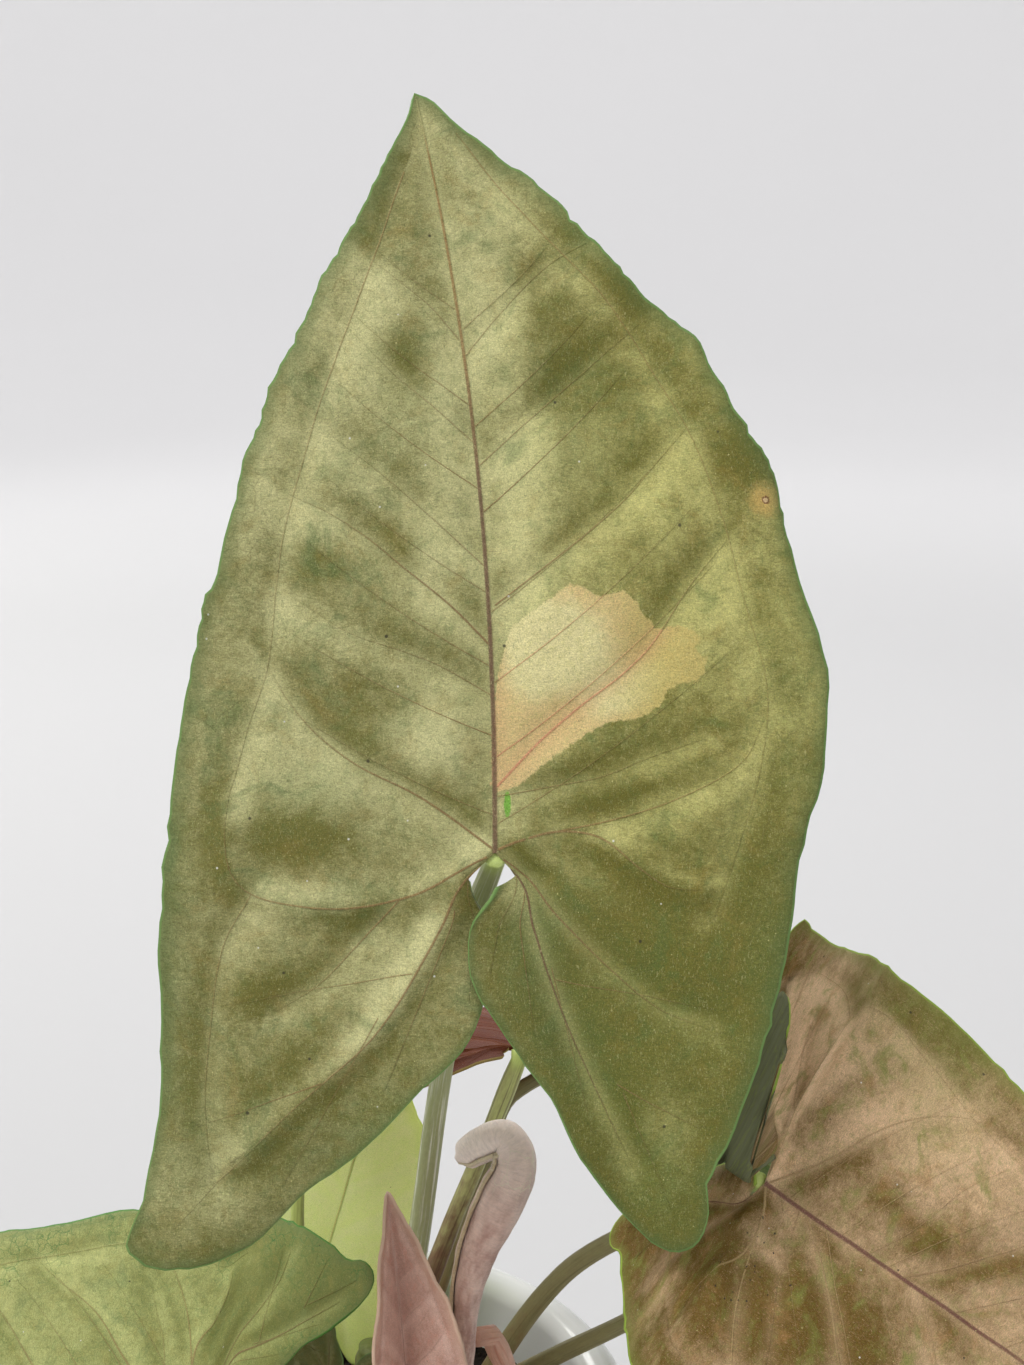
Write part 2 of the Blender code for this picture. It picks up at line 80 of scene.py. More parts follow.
# How far the curled inner edge of the left lobe reaches past the leaf's outline: (ray, reach)
CURL_REACH = (
    (13.5, 0), (14, 12), (14.5, 36), (15, 60), (15.5, 57), (16, 44), (16.5, 31), (17, 17), (17.5, 2),
    (18, 0),
)
CURL_LIFT = 0.05
GAP_WIDTH = 7.0
MARGIN_BOW = 0.15
FLAT_ROUND_PETIOLE = (2, 9)
RIB_ROUNDING = 3.0
WAVE_TURN = 2.1
NOTCH_REACH = 13.0
LOBE_LENGTH = 60.0
MIDRIB_STATIONS = (108, 98, 86, 73, 59, 44, 31, 20, 6, 0)
RIB_SHARES = (0.085, 0.3, 0.65, 1, 0.65, 0.3, 0.085, 0.085, 0.085)
BASAL_RIB = {
    -1: ((0, 0, 0), (1, -9.9, -14.5), (2, -24, -32), (3, -38, -45)),
    1: ((0, 0, 0), (1, 6.8, -13), (2, 13.2, -27), (3, 28, -47.5)),
}
# Margin of the standard leaf from its tip, round the lobe, to the notch: (ray, x, y)
MARGIN = {
    -1: (
        (0, -12.5, 116.7), (0.4, -13.4, 113), (1, -16.5, 106.5), (1.5, -18.8, 102), (2, -21, 97.7),
        (3, -25.2, 90.5), (4, -29.3, 80.5), (5, -34.4, 70), (6, -37.9, 60.5), (6.5, -39.8, 52.5),
        (7, -42, 43.5), (8, -45.3, 32.8), (9, -48.2, 17.5), (10, -50.1, 0), (11, -51, -19),
        (12, -51.8, -40), (12.5, -53.5, -52), (13, -56.8, -60.3), (13.5, -51, -63.5),
        (14, -43.5, -63), (14.5, -36.4, -59.5), (15, -28.5, -51.5), (15.5, -20.5, -45.6),
        (16, -10.8, -35.2), (16.5, -4.4, -29.5), (17, -1, -20), (17.5, -1, -11), (18, -2, -4.4),
    ),
    1: (
        (0, -12.5, 116.7), (0.3, -9.9, 115.4), (0.6, -6.5, 111.8), (1, -1.5, 108.2), (2, 8.2, 101.2),
        (2.5, 11.5, 96.8), (3, 15.5, 92.7), (4, 22.4, 85.1), (5, 30.5, 78.2), (5.5, 33.9, 72.3),
        (6, 36.6, 67), (7, 41.6, 59.2), (7.5, 43.5, 54.5), (8, 44.6, 48), (8.5, 47.7, 37),
        (9, 50.8, 25), (9.5, 49.9, 14), (10, 47.4, 3.5), (11, 44.3, -16.5), (12, 39.4, -33.5),
        (12.5, 34.7, -45.5), (12.8, 32.2, -50.5), (13, 32.8, -55), (13.5, 30, -60.9),
        (14, 23.9, -59.8), (15, 13, -45.5), (15.5, 9, -37.4), (16, 4.6, -31.9), (16.5, 0.2, -25.6),
        (17, -3.4, -19.8), (17.5, -4, -12.5), (18, -1.3, -5),
    ),
}

# Veins of the standard leaf: (side, width, strength, how maroon, points). Those 1.0 wide stand up as ridges.
VEINS = (
    (-1, 0.9, 0.9, 0.35, ((-0.3, 0.6), (-11.4, 8.4), (-20.5, 13), (-26.6, 17.5), (-31.2, 22.8), (-34.2, 28))),
    (-1, 1.0, 0.9, 0.2, ((-0.9, -0.6), (-8.4, -4.6), (-14.4, -6.8), (-22, -8), (-29.6, -7.6), (-36.5, -6),
                         (-39.3, -3), (-40.3, 2.3), (-40, 8.4))),
    (-1, 0.7, 0.7, 0.2, ((-14.4, -7), (-21.3, -14.4), (-26.6, -19.8), (-32.7, -23.6))),
    (-1, 1.0, 0.9, 0.3, ((-1.2, -2), (-6, -7.6), (-9.9, -14.4), (-14.4, -22), (-19, -28), (-25, -33.4),
                         (-31.2, -38.8), (-38.8, -46.4))),
    (-1, 0.8, 0.85, 0.45, ((-0.8, 31.2), (-6.8, 37.2), (-14.4, 43.3), (-19, 47.1), (-25, 51), (-31.2, 54))),
    (-1, 0.5, 0.6, 0.4, ((-0.5, 23.6), (-8.4, 28.1), (-14.4, 30.4), (-22, 33), (-30, 38))),
    (-1, 0.5, 0.6, 0.5, ((-1.5, 43), (-8, 49), (-16, 56), (-25, 63))),
    (-1, 0.5, 0.55, 0.4, ((-3.2, 62), (-9, 67), (-15, 72), (-23, 80))),
    (-1, 0.5, 0.55, 0.4, ((-5.6, 78), (-10, 83), (-15, 87), (-20, 91))),
    (-1, 0.6, 0.6, 0.0, ((-14, 104), (-17, 95), (-20.5, 85), (-24, 75), (-28.9, 60), (-32, 48), (-33, 40),
                         (-34.2, 28), (-37.5, 18), (-40, 8.4))),
    (-1, 0.5, 0.5, 0.0, ((-36.5, -6), (-41, -14), (-43, -26), (-44, -38), (-43, -50))),
    (1, 0.9, 0.9, 0.3, ((0.3, 9.9), (6.8, 16.7), (12.9, 22), (19, 26.6), (23.6, 31.2), (29.6, 40.3),
                        (35, 47))),
    (1, 0.7, 0.75, 0.3, ((0, 37.2), (9.9, 44.8), (19, 52.4), (25, 59.3), (28.9, 63.8))),
    (1, 0.5, 0.6, 0.4, ((-2.3, 58.5), (6, 66), (14, 73), (22, 80))),
    (1, 0.5, 0.55, 0.4, ((-4.8, 75), (1, 82), (8, 89), (14, 92))),
    (1, 0.5, 0.6, 0.3, ((0.4, 8.4), (9.9, 10.2), (16, 11.4), (23.6, 14.4), (31.2, 17))),
    (1, 1.0, 0.9, 0.2, ((0.5, 0.5), (4, 2), (9.9, 3.3), (16, 2.3), (22, -2.3), (26, -4.8), (31, -5.3))),
    (1, 0.7, 0.75, 0.1, ((8, 3), (19, 5.3), (28.1, 8.4), (37.2, 13.7), (40.5, 20))),
    (1, 0.8, 0.85, 0.4, ((0.8, -1), (9.9, -9.9), (17.5, -17.5), (25, -23.6), (33, -26.6))),
    (1, 0.9, 0.9, 0.9, ((1.2, -2.5), (5, -9), (8, -18), (11.4, -27), (16, -37.2), (21, -48))),
    (1, 0.6, 0.6, 0.0, ((-6, 110), (1, 101), (10, 91), (18, 82), (25, 71), (30, 62), (34.5, 50), (38, 37),
                        (41, 24), (40, 13), (37, 2), (33, -10))),
)
MIDRIB = (1.9, 0.95, 1.0)
VEIN_WIDTH = 0.3
RIDGE_WIDTH = 1.0
# A leaf that glows more than this has no ribs below, because they would show dark
GLOWING = 0.5
# Rays of the thin side veins
EXTRA_RAYS = (2.4, 3.5, 4.4, 5.5, 6.4, 7.3, 8.2, 11.4, 12.3, 13.4, 14.5, 15.6, 16.6)

# Lighter and darker zones of the front leaf, partly its tissue's own tone and partly painted highlights and
# shade of its quilting: (x, y, half width, half height, turn in degrees, strength)
FRONT_ZONES = (
    (4, 50, 3.5, 22, 3, 1.1), (-7, 52, 5, 8, 10, 0.9), (-10, 42, 3, 6, 30, 1.2), (-10, 18, 6, 6, 0, 1.2),
    (-28, 12, 11, 4.5, -20, 0.8), (-32, -8.5, 10, 3.5, 15, 0.7), (-18, -25, 3, 12, -38, 0.9),
    (4, 99, 5, 6, 0, 0.6), (14, 85, 4, 7, 30, 0.5), (0, 81, 2.2, 7, -15, 1.0), (-33, 57, 4, 10, -10, 0.8),
    (-23, 83, 3, 7, -15, 0.6), (34, 36, 2.5, 10, -35, 0.7), (24, 53, 6, 5, 0, 0.4), (-7.5, 69, 3, 7, 0, 1.2),
    (8, -1, 8, 3, -20, 0.6), (-34, 36, 3, 8, 0, 0.4), (-12, -14, 2.5, 9, -45, 0.7), (28, 8, 8, 3, 20, 0.4),
    (-14, 76, 4, 7, 0, -0.9), (-14, 44, 3.5, 4, 0, -0.8), (12, 70, 9, 5, 20, -1.0), (38, 60, 4, 8, 30, -1.0),
    (-27, 43, 6, 3.5, 0, -0.8), (-31, 2.5, 9, 4, 10, -1.0), (20, 8.5, 12, 2.5, 12, -0.7),
    (-36, -21, 5, 2.5, 10, -0.8), (26, -19, 12, 7, -20, -0.8), (-18, 21, 8, 5, -30, -0.6),
    (-15, 98, 3, 11, -20, -0.6), (-30, -33, 9, 4, 30, -0.6), (12, -42, 6, 14, 20, -0.3),
    (24, 24, 12, 4, 20, -0.3),
    (-2, 88, 6, 14, 0, 0.6), (-22, 72, 8, 16, -12, 0.5), (16, 82, 8, 12, 30, -0.8), (7, -12, 5, 10, 0, -0.9),
    (-46, -50, 8, 8, 0, 0.8), (26, -44, 5, 8, 0, 0.9), (6, 60, 4, 12, 0, 0.5), (-18, 81, 4, 6, 0, 0.7),
    (7, 80, 5, 6, 0, -0.5),
)
# Zones of the front leaf where its tissue turns a deeper, cooler green
COOL_ZONES = (
    (5.5, -12, 5, 9, 0, 1.0), (13, -30, 6, 13, 28, 1.0), (25, -50, 8, 9, 20, 0.8), (42, -18, 5, 14, 10, 0.8),
    (30, -28, 7, 10, 0, 0.5), (-18, -42, 5, 14, -55, 0.7), (-49, -12, 4, 26, 0, 0.6),
    (-30, -58, 14, 4, 10, 0.5),
    (-27, 10, 9, 5, 0, 0.5), (14, 62, 8, 8, 20, 0.35), (46, 20, 4, 26, 0, 0.35), (-12, 68, 6, 8, 0, 0.3),
    (-44, -44, 5, 8, 0, 0.4), (18, -16, 5, 8, 20, 0.4),
)
# The same for the right leaf
RIGHT_COOL_ZONES = (
    (-43, 12, 8, 18, 0, 1.0), (-30, 22, 8, 10, 0, 0.5), (-44, -12, 8, 8, 0, 0.5), (38, -20, 6, 12, 0, 0.4),
)
# Lighter and darker zones of the right leaf, partly its tissue's own tone and partly painted highlights and
# shade of its deeper quilting and folds
RIGHT_ZONES = (
    (-20, -14, 14, 14, 0, 0.9), (-26, 22, 10, 22, 0, 0.9), (-14, 44, 4, 14, 20, -0.9),
    (10, 40, 4, 22, 10, 0.5),
    (20, 12, 9, 22, 20, -1.3), (30, -20, 10, 12, 0, 0.9), (-8, 62, 6, 14, 0, 0.5), (9, -12, 3, 12, 10, -0.7),
    (-40, 10, 4, 14, 0, 0.6), (30, 44, 8, 10, 0, -0.8), (2, -30, 8, 10, 0, 0.7), (12, 8, 3, 12, -20, 0.8),
    (-38, -30, 12, 14, 0, 1.3), (-30, -6, 10, 10, 0, 0.9), (14, 22, 6, 20, 15, -0.8),
    (-44, 16, 7, 16, 0, -0.7),
    (-22, 4, 12, 3, -25, -0.8), (-10, 26, 3, 14, -10, -0.6),
)
# Outline of the cream and pink patch of the front leaf
PATCH = (
    (0.6, 27), (2.2, 33.6), (6.8, 37.2), (11.4, 40.3), (14, 39.5), (15.4, 38.3), (19.3, 39.2), (21.3, 37.7),
    (22.3, 35.7), (24.6, 33.6), (28, 34), (30.6, 33), (30.9, 31), (29, 30.4), (31.9, 29.3), (31.5, 27),
    (30.6, 25.7), (26.6, 25), (25.6, 23.7), (24.6, 21.7), (21.3, 20), (18, 19.8), (15.4, 18.8),
    (13.4, 17.5), (8, 13.9), (3.5, 9.9), (-0.6, 9), (-0.4, 20),
)
CREAM = ((9, 32, 8, 5.5, -20, 1.5), (20, 24.5, 6, 3, 25, 1.1), (6, 26, 5, 4, 0, 0.6))
GREEN_SPOT = (1.9, 7.2, 0.55, 2.0)
AMBER_SPOT = (41, 53, 2.6)
SPECK_GROUP = (15.6, 5.3, 12.0)


class Look(NamedTuple):
    """Colours of a leaf, in linear light, and how strongly its marks show."""

    dark: tuple
    light: tuple
    rust: tuple
    moss: tuple
    vein: tuple
    rib: tuple
    margin: tuple
    under: tuple
    net_colour: tuple
    net: float = 0.25
    net_scale: float = 0.33
    mossy: float = 0.5
    rusty: float = 0.5
    glow: float = 0.1
    depth: float = 0.0008
    patch: bool = False


LOOKS = {
    "olive_leaf": Look(
        (0.16, 0.15, 0.028), (0.61, 0.59, 0.29), (0.30, 0.21, 0.05), (0.10, 0.165, 0.05),
        (0.31, 0.19, 0.07), (0.15, 0.07, 0.045), (0.18, 0.31, 0.09), (0.30, 0.33, 0.20),
        (0.13, 0.11, 0.03), net=0.3, rusty=0.38, patch=True,
    ),
    "bronze_leaf": Look(
        (0.14, 0.078, 0.007), (0.75, 0.52, 0.31), (0.38, 0.20, 0.07), (0.22, 0.25, 0.05),
        (0.50, 0.36, 0.16), (0.15, 0.05, 0.045), (0.30, 0.42, 0.06), (0.16, 0.17, 0.09),
        (0.12, 0.07, 0.03), net=0.12, mossy=0.7,
    ),
    "netted_leaf": Look(
        (0.22, 0.235, 0.06), (0.58, 0.60, 0.24), (0.38, 0.32, 0.09), (0.17, 0.23, 0.08),
        (0.32, 0.24, 0.09), (0.24, 0.15, 0.07), (0.10, 0.26, 0.05), (0.32, 0.38, 0.20),
        (0.035, 0.17, 0.035), net=0.85, net_scale=0.36, rusty=0.35,
    ),
    "lime_leaf": Look(
        (0.72, 0.97, 0.26), (0.82, 0.99, 0.36), (0.80, 0.94, 0.30), (0.60, 0.94, 0.18),
        (0.85, 0.90, 0.30), (0.85, 0.82, 0.28), (0.50, 0.76, 0.12), (0.66, 0.88, 0.22),
        (0.30, 0.52, 0.06), net=0.1, mossy=0.25, rusty=0.3, glow=0.8, depth=0.004,
    ),
    "brown_leaf": Look(
        (0.10, 0.015, 0.001), (0.17, 0.038, 0.005), (0.15, 0.028, 0.003), (0.10, 0.025, 0.004),
        (0.20, 0.06, 0.015), (0.14, 0.04, 0.02), (0.36, 0.26, 0.08), (0.165, 0.024, 0.001),
        (0.10, 0.05, 0.03), net=0.2, mossy=0.2,
    ),
    "green_leaf": Look(
        (0.085, 0.14, 0.035), (0.29, 0.37, 0.13), (0.24, 0.22, 0.06), (0.08, 0.18, 0.04),
        (0.33, 0.38, 0.15), (0.24, 0.22, 0.10), (0.16, 0.34, 0.06), (0.24, 0.33, 0.17),
        (0.05, 0.12, 0.03), net=0.35,
    ),
    "pink_leaf": Look(
        (0.50, 0.27, 0.20), (0.84, 0.60, 0.50), (0.68, 0.33, 0.24), (0.56, 0.34, 0.23),
        (0.68, 0.46, 0.35), (0.46, 0.24, 0.17), (0.66, 0.45, 0.33), (0.74, 0.53, 0.44),
        (0.15, 0.07, 0.05), net=0.12, mossy=0.15, rusty=0.6,
    ),
}
# Petiole colours: foot, middle, upper part, streaks, and the fresh end under the blade
FRESH = (0.62, 0.76, 0.22)
STALKS = {
    # The front petiole's near-white streaks are partly pale striations and partly painted highlight stripes
    "front_petiole": (
        (0.36, 0.28, 0.15), (0.38, 0.40, 0.20), (0.42, 0.44, 0.22), (0.93, 0.94, 0.84), FRESH,
    ),
    "olive_petiole": (
        (0.30, 0.18, 0.08), (0.34, 0.30, 0.14), (0.38, 0.38, 0.16), (0.17, 0.15, 0.06), FRESH,
    ),
    "lime_petiole": (
        (0.34, 0.34, 0.11), (0.48, 0.52, 0.16), (0.56, 0.66, 0.20), (0.34, 0.38, 0.10), FRESH,
    ),
    "brown_petiole": (
        (0.15, 0.06, 0.035), (0.24, 0.14, 0.08), (0.66, 0.70, 0.28), (0.10, 0.045, 0.03), FRESH,
    ),
    "peach_petiole": (
        (0.80, 0.42, 0.30), (0.86, 0.52, 0.39), (0.66, 0.38, 0.27), (0.52, 0.19, 0.12), (0.56, 0.31, 0.22),
    ),
    "stem": (
        (0.16, 0.11, 0.05), (0.24, 0.20, 0.09), (0.30, 0.32, 0.12), (0.10, 0.07, 0.03), (0.26, 0.30, 0.10),
    ),
}


class Leaf(NamedTuple):
    """One leaf: its blade's size, place and form, its look, and its petiole's route and look."""

    length: float
    at: tuple
    pointing: tuple
    facing: tuple
    look: str
    stalk_look: str
    route: tuple
    stalk: tuple = (2.4, 1.5)
    width: float = 1.0
    lobes: float = 1.0
    sway: float = 4.0
    fold: float = 12.0
    arch: float = 25.0
    droop: float = 15.0
    wave: float = 1.2
    curl: float = 0.0
    gap: tuple = (0.0, 1.0)
    fuller: tuple = ()
    neck: float = 3.0
    notch: float = 6.0
    taper: float = 0.0
    lap: float = 0.0
    mirrored: bool = False
    grid: tuple = (5, 22)
    puff: float = 0.8
    zones: tuple = ()


LEAVES = {
    "front": Leaf(
        118.6, (30.4, -37, 227), (0, 0.2588, 0.9659), (0, -0.9659, 0.2588), "olive_leaf", "olive_petiole",
        ((8, -3), (11, -5, 112), (16, -10, 142), (21, -19, 180), (26, -28, 210)),
        (2.5, 1.6), sway=STANDARD_SWAY, fold=6, arch=7, droop=6, notch=0, lap=2.8, gap=(1.8, 11),
        grid=(9, 44), puff=1.5, zones=FRONT_ZONES,
    ),
    "right": Leaf(
        98, (74, -34, 169), (0.82, -0.30, -0.46), (0.2, -0.8, 0.55), "bronze_leaf", "olive_petiole",
        ((22, 5), (32, 4, 112), (42, -1, 130), (51, -6, 140.5), (64, -13, 151), (74, -21, 160.5)),
        (2.3, 1.5), lobes=0.33, taper=0.14, fold=13, arch=22, droop=10, notch=0, lap=-3, curl=1.9,
        gap=(2.8, 30), fuller=((12.1, 1.2, 0.09), (9, 2, 0.05)),
        grid=(7, 36), puff=1.7, zones=RIGHT_ZONES,
    ),
    "left": Leaf(
        80, (-18.9, -37, 129), (-1, 0.02, 0.06), (-0.05, -0.6, 0.8), "netted_leaf", "lime_petiole",
        ((-16, -10), (-17, -17, 104), (-18, -26, 118)),
        width=0.96, lobes=0.64, fold=10, arch=14, droop=10, notch=8, grid=(7, 32), puff=1.2,
    ),
    "lime": Leaf(
        44, (-5, 28, 116), (0.3, 0.34, 0.89), (0.05, -0.93, 0.36), "lime_leaf", "lime_petiole",
        ((-8, 14), (-8, 22, 98), (-6, 31, 108)),
        (1.8, 1.1), lobes=0.85, fold=14, puff=0.5,
    ),
    "behind": Leaf(
        54, (34, 6, 173.5), (-0.2, 0.96, -0.1), (0.0, 0.1, 0.99), "brown_leaf", "brown_petiole",
        ((10, 12), (14, 9, 112), (21, 6, 135), (27, 4, 152)),
        (2.5, 1.4), lobes=0.45, fold=10, neck=0.8,
    ),
    "low_right": Leaf(
        66, (85, 8, 138), (0.86, 0.3, -0.42), (0.35, -0.1, 0.93), "green_leaf", "olive_petiole",
        ((24, 13), (31, 10, 99), (41, 6, 108), (56, 1, 120), (70, 3, 128)),
        (2.2, 1.4), fold=15, mirrored=True,
    ),
    "back_right": Leaf(
        64, (80, 48, 154), (0.2, 0.93, -0.3), (0.1, 0.3, 0.95), "olive_leaf", "olive_petiole",
        ((12, 20), (20, 17, 121), (28, 20, 143), (33, 24, 154), (52, 36, 156)),
        (2.1, 1.2), fold=14, mirrored=True,
    ),
    "back_left": Leaf(
        46, (-4, 26, 164), (-0.15, 0.94, -0.3), (0.0, 0.3, 0.95), "bronze_leaf", "lime_petiole",
        ((-2, 10), (-5, 10, 104), (-7, 9, 116), (-8, 13, 140)),
        (2.0, 1.1), fold=16, puff=0.6,
    ),
    "back": Leaf(
        50, (-22, 54, 120), (-0.25, 0.85, -0.46), (-0.2, 0.42, 0.88), "green_leaf", "olive_petiole",
        ((-8, 23), (-12, 32, 102), (-18, 44, 114)),
        (2.2, 1.3), lobes=0.7, fold=16, puff=0.6,
    ),
    "low": Leaf(
        28, (2, -17, 119), (-0.3, -0.85, -0.42), (0.0, -0.4, 0.9), "olive_leaf", "lime_petiole",
        ((-4, -12), (-2, -13, 104), (1, -13, 112)),
        (1.5, 1.0), lobes=0.9, fold=8, arch=14, droop=6, wave=0.5, puff=0.3,
    ),
    "folded": Leaf(
        49, (16.5, -36, 117), (-0.08, 0.22, 0.97), (0.25, -0.9, 0.3), "pink_leaf", "peach_petiole",
        ((10, -16), (12, -21, 98), (16, -29, 109)),
        (2.0, 1.3), width=0.85, lobes=0.6, fold=60, arch=-14, droop=8, wave=2.0, puff=1.0,
    ),
}

# Petioles
SOIL_ENTRY = 2.0
PETIOLE_DEPTH = 14.0
PETIOLE_STEP = 2.0
BLADE_BACK = 1.25

# The rolled young leaf: its axis with the roll's radius there, from its foot to its bent-over end
ROLL_ROUTE = (
    (25, -33, 131, 1.9), (25, -33, 139, 2.3), (25.5, -32, 147, 2.9), (27.5, -31, 155, 3.7),
    (31, -30, 163, 4.4), (33.6, -28, 169, 4.0), (31.8, -26, 172.6, 3.5), (27.5, -25.5, 171, 3.2),
    (23.8, -26, 168.5, 2.6),
)
ROLL_TURNS = 1.14
ROLL_GAIN = 0.85
ROLL_START = 148.0
ROLL_GRID = (110, 72)
ROLL_STALK_RADII = (2.6, 1.7)
ROLL_STALK = ((24, -10), (31, -17, 108), (32, -21, 124), (29.5, -24.5, 134), (26.5, -29.5, 137))

STEMS = {"stem_a": (0.5, -3, -3, 2), "stem_b": (4, 18, 1, -3), "stem_c": (15.5, -4, 3, 1)}
STEM_RADIUS = 3.6
STEM_TOP = 104.0
STEM_FOOT = 66.0
STEM_STEPS = 72
STEM_RING = 0.35
STEM_TAPER = 0.35

# Stage, in metres: the flat floor's radius, the bend's radius and the wall's top
FLOOR_FLAT = 2.0
FLOOR_BEND = 1.6
WALL_TOP = 3.4
FLOOR_STEPS = 96
WORLD_STRENGTH = 0.52
MIDDLE = (0.02, 0.0, 0.2)
# Lights: name, place, target, size, power, colour
LIGHTS = (
    ("key", (-1.7, -1.2, 2.9), MIDDLE, 1.5, 58, (1.0, 0.99, 0.97)),
    ("fill", (2.4, -1.8, 1.6), MIDDLE, 1.8, 9, (0.97, 0.98, 1.0)),
    ("back", (0.4, 1.1, 1.4), MIDDLE, 0.8, 7, (1.0, 1.0, 1.0)),
    ("back_left", (-0.9, 1.1, 1.0), MIDDLE, 0.7, 7, (1.0, 1.0, 0.97)),
    ("wall", (0.0, 1.0, 2.7), (0.0, 3.6, 1.0), 2.2, 16, (1.0, 1.0, 1.0)),
)


def smooth(low, high, value):
    """0 below low, 1 above high, with an even slope between."""
    share = np.clip((value - low) / (high - low), 0, 1)
    return share * share * (3 - 2 * share)


def through(points, at):
    """The point at a knot on the smooth curve through points, each of which starts with its knot."""
    knots = [point[0] for point in points]
    last = len(points) - 1
    i = min(max(bisect_right(knots, at) - 1, 0), last - 1)

    def slope(j):
        a, b = points[max(j - 1, 0)], points[min(j + 1, last)]
        return [(q - p) / (b[0] - a[0]) for p, q in zip(a[1:], b[1:])]

    start, end = points[i], points[i + 1]
    span = end[0] - start[0]
    t = (at - start[0]) / span
    weights = (2 * t**3 - 3 * t**2 + 1, t**3 - 2 * t**2 + t, 3 * t**2 - 2 * t**3, t**3 - t**2)
    parts = zip(start[1:], slope(i), end[1:], slope(i + 1))
    return [
        weights[0] * p + weights[1] * span * m + weights[2] * q + weights[3] * span * n
        for p, m, q, n in parts
    ]


def knotted(points):
    """The points with the distance from the first one as their knots."""
    distance, made = 0.0, []
    for i, point in enumerate(points):
        if i:
            distance += math.dist(point[:3], points[i - 1][:3])
        made.append((distance, *point))
    return made


def resampled(points, step):
    """Points at even steps on the smooth curve through points."""
    course = knotted(points)
    count = max(int(course[-1][0] / step), 2)
    return np.array([through(course, course[-1][0] * i / count) for i in range(count + 1)])


# What every point of a blade knows for its material
BLADE_FIELDS = ("flat", "edge", "near", "tone_and_shade", "patch", "cream", "lobe")


# The flat standard leaf


def sway_at(y, amount):
    """How far the midrib has leaned to the left at height y of the standard leaf."""
    return -amount * (np.maximum(y, 0) / STANDARD_LENGTH) ** SWAY_POWER


def between(values, at):
    i = min(int(at), len(values) - 2)
    return values[i] + (values[i + 1] - values[i]) * (at - i)


def spine_point(side, ray):
    """Where a ray starts: on the midrib down to the petiole, then out along the basal rib and back."""
    last_station = len(MIDRIB_STATIONS) - 1
    if ray <= last_station:
        y = between(MIDRIB_STATIONS, ray)
        return float(sway_at(y, STANDARD_SWAY)), y
    share = between(RIB_SHARES, max(ray - last_station - 1, 0))
    return through(BASAL_RIB[side], share * (len(BASAL_RIB[side]) - 1))


def margin_point(side, ray, start):
    """The margin's point on a ray, with the small uneven steps of a grown edge."""
    end = np.array(through(MARGIN[side], ray))
    outward = (end - start) / max(np.linalg.norm(end - start), 1e-6)
    uneven = noise.noise(Vector((ray * 1.9, side * 5.0, 0))) * 0.75 - 0.45
    uneven += noise.noise(Vector((ray * 6.1, side * 5.0, 7.0))) * 0.5
    return end + outward * min(uneven, 0) * smooth(0.5, 1.5, ray) * (1 - smooth(17, 17.8, ray))


def flat_grid(side, rays, shares):
    """Points of the flat half leaf for every ray and share, and each ray's length."""
    rows, lengths = [], []
    for ray in rays:
        start = np.array(spine_point(side, ray))
        reach = margin_point(side, ray, start) - start
        bow = MARGIN_BOW * smooth(0, 2, ray) * (1 - smooth(8, 10.5, ray))
        base_side = np.array((-reach[1], reach[0])) * -side
        rows.append(start + np.outer(shares, reach) + np.outer(bow * shares * (1 - shares), base_side))
        lengths.append(np.linalg.norm(reach))
    return np.array(rows), np.array(lengths)


def nearest(path, x, y):
    """Distance from every point to a line through a path's points."""
    found = np.full(x.shape, 1e6)
    for (ax, ay), (bx, by) in zip(path, path[1:]):
        span = max((bx - ax) ** 2 + (by - ay) ** 2, 1e-9)
        share = np.clip(((x - ax) * (bx - ax) + (y - ay) * (by - ay)) / span, 0, 1)
        found = np.minimum(found, np.hypot(x - ax - share * (bx - ax), y - ay - share * (by - ay)))
    return found


def above_by(path, side, x, y):
    """Distance from every point to a path, positive on the path's side towards the leaf's tip."""
    found, above = np.full(x.shape, 1e6), np.zeros(x.shape)
    for (ax, ay), (bx, by) in zip(path, path[1:]):
        distance = nearest(((ax, ay), (bx, by)), x, y)
        turn = np.sign((bx - ax) * (y - ay) - (by - ay) * (x - ax)) * side
        above = np.where(distance < found, turn, above)
        found = np.minimum(distance, found)
    return found * above


def vein_relief(side, veins, x, y):
    """How high quilting lifts the blade between veins, and how top light falls on those slopes."""
    valley = nearest(midrib_path(), x, y)
    lift, lit = np.zeros(x.shape), np.zeros(x.shape)
    for vein_side, width, strength, _, path in veins:
        if vein_side != side or width <= 0.45:
            continue
        ridge = width >= RIDGE_WIDTH
        above = above_by(path, side, x, y)
        distance = np.abs(above)
        slope = above / 2.0 * np.exp(-((above / 2.8) ** 2)) * strength
        lit += slope if ridge else -slope
        if ridge:
            lift += 0.9 * np.exp(-((distance / 2.0) ** 2)) * np.minimum(1, nearest(path[:1] * 2, x, y) / 4)
        else:
            valley = np.minimum(valley, distance + (1.0 - width) * 2)
    return 0.3 - np.exp(-((valley / 3.8) ** 2)) + lift, lit, valley


def zone_sum(zones, x, y):
    """The sum of soft oval zones at every point."""
    total = np.zeros(x.shape)
    for zone_x, zone_y, half_width, half_height, turn, strength in zones:
        c, s = math.cos(math.radians(turn)), math.sin(math.radians(turn))
        u = ((x - zone_x) * c + (y - zone_y) * s) / half_width
        v = (-(x - zone_x) * s + (y - zone_y) * c) / half_height
        total += strength * np.exp(-(u * u + v * v))
    return total


def inside_by(outline, x, y):
    """Distance to a closed outline, positive inside it and negative outside."""
    closed = list(outline) + [outline[0]]
    inside = np.zeros(x.shape, bool)
    for (ax, ay), (bx, by) in zip(closed, closed[1:]):
        crosses = (ay > y) != (by > y)
        at = ax + (y - ay) * (bx - ax) / (by - ay if by != ay else 1e-9)
        inside ^= crosses & (x < at)
    return np.where(inside, 1, -1) * nearest(closed, x, y)


def midrib_path():
    heights = np.linspace(0, STANDARD_LENGTH - 1, 40)
    return list(zip(sway_at(heights, STANDARD_SWAY), heights))


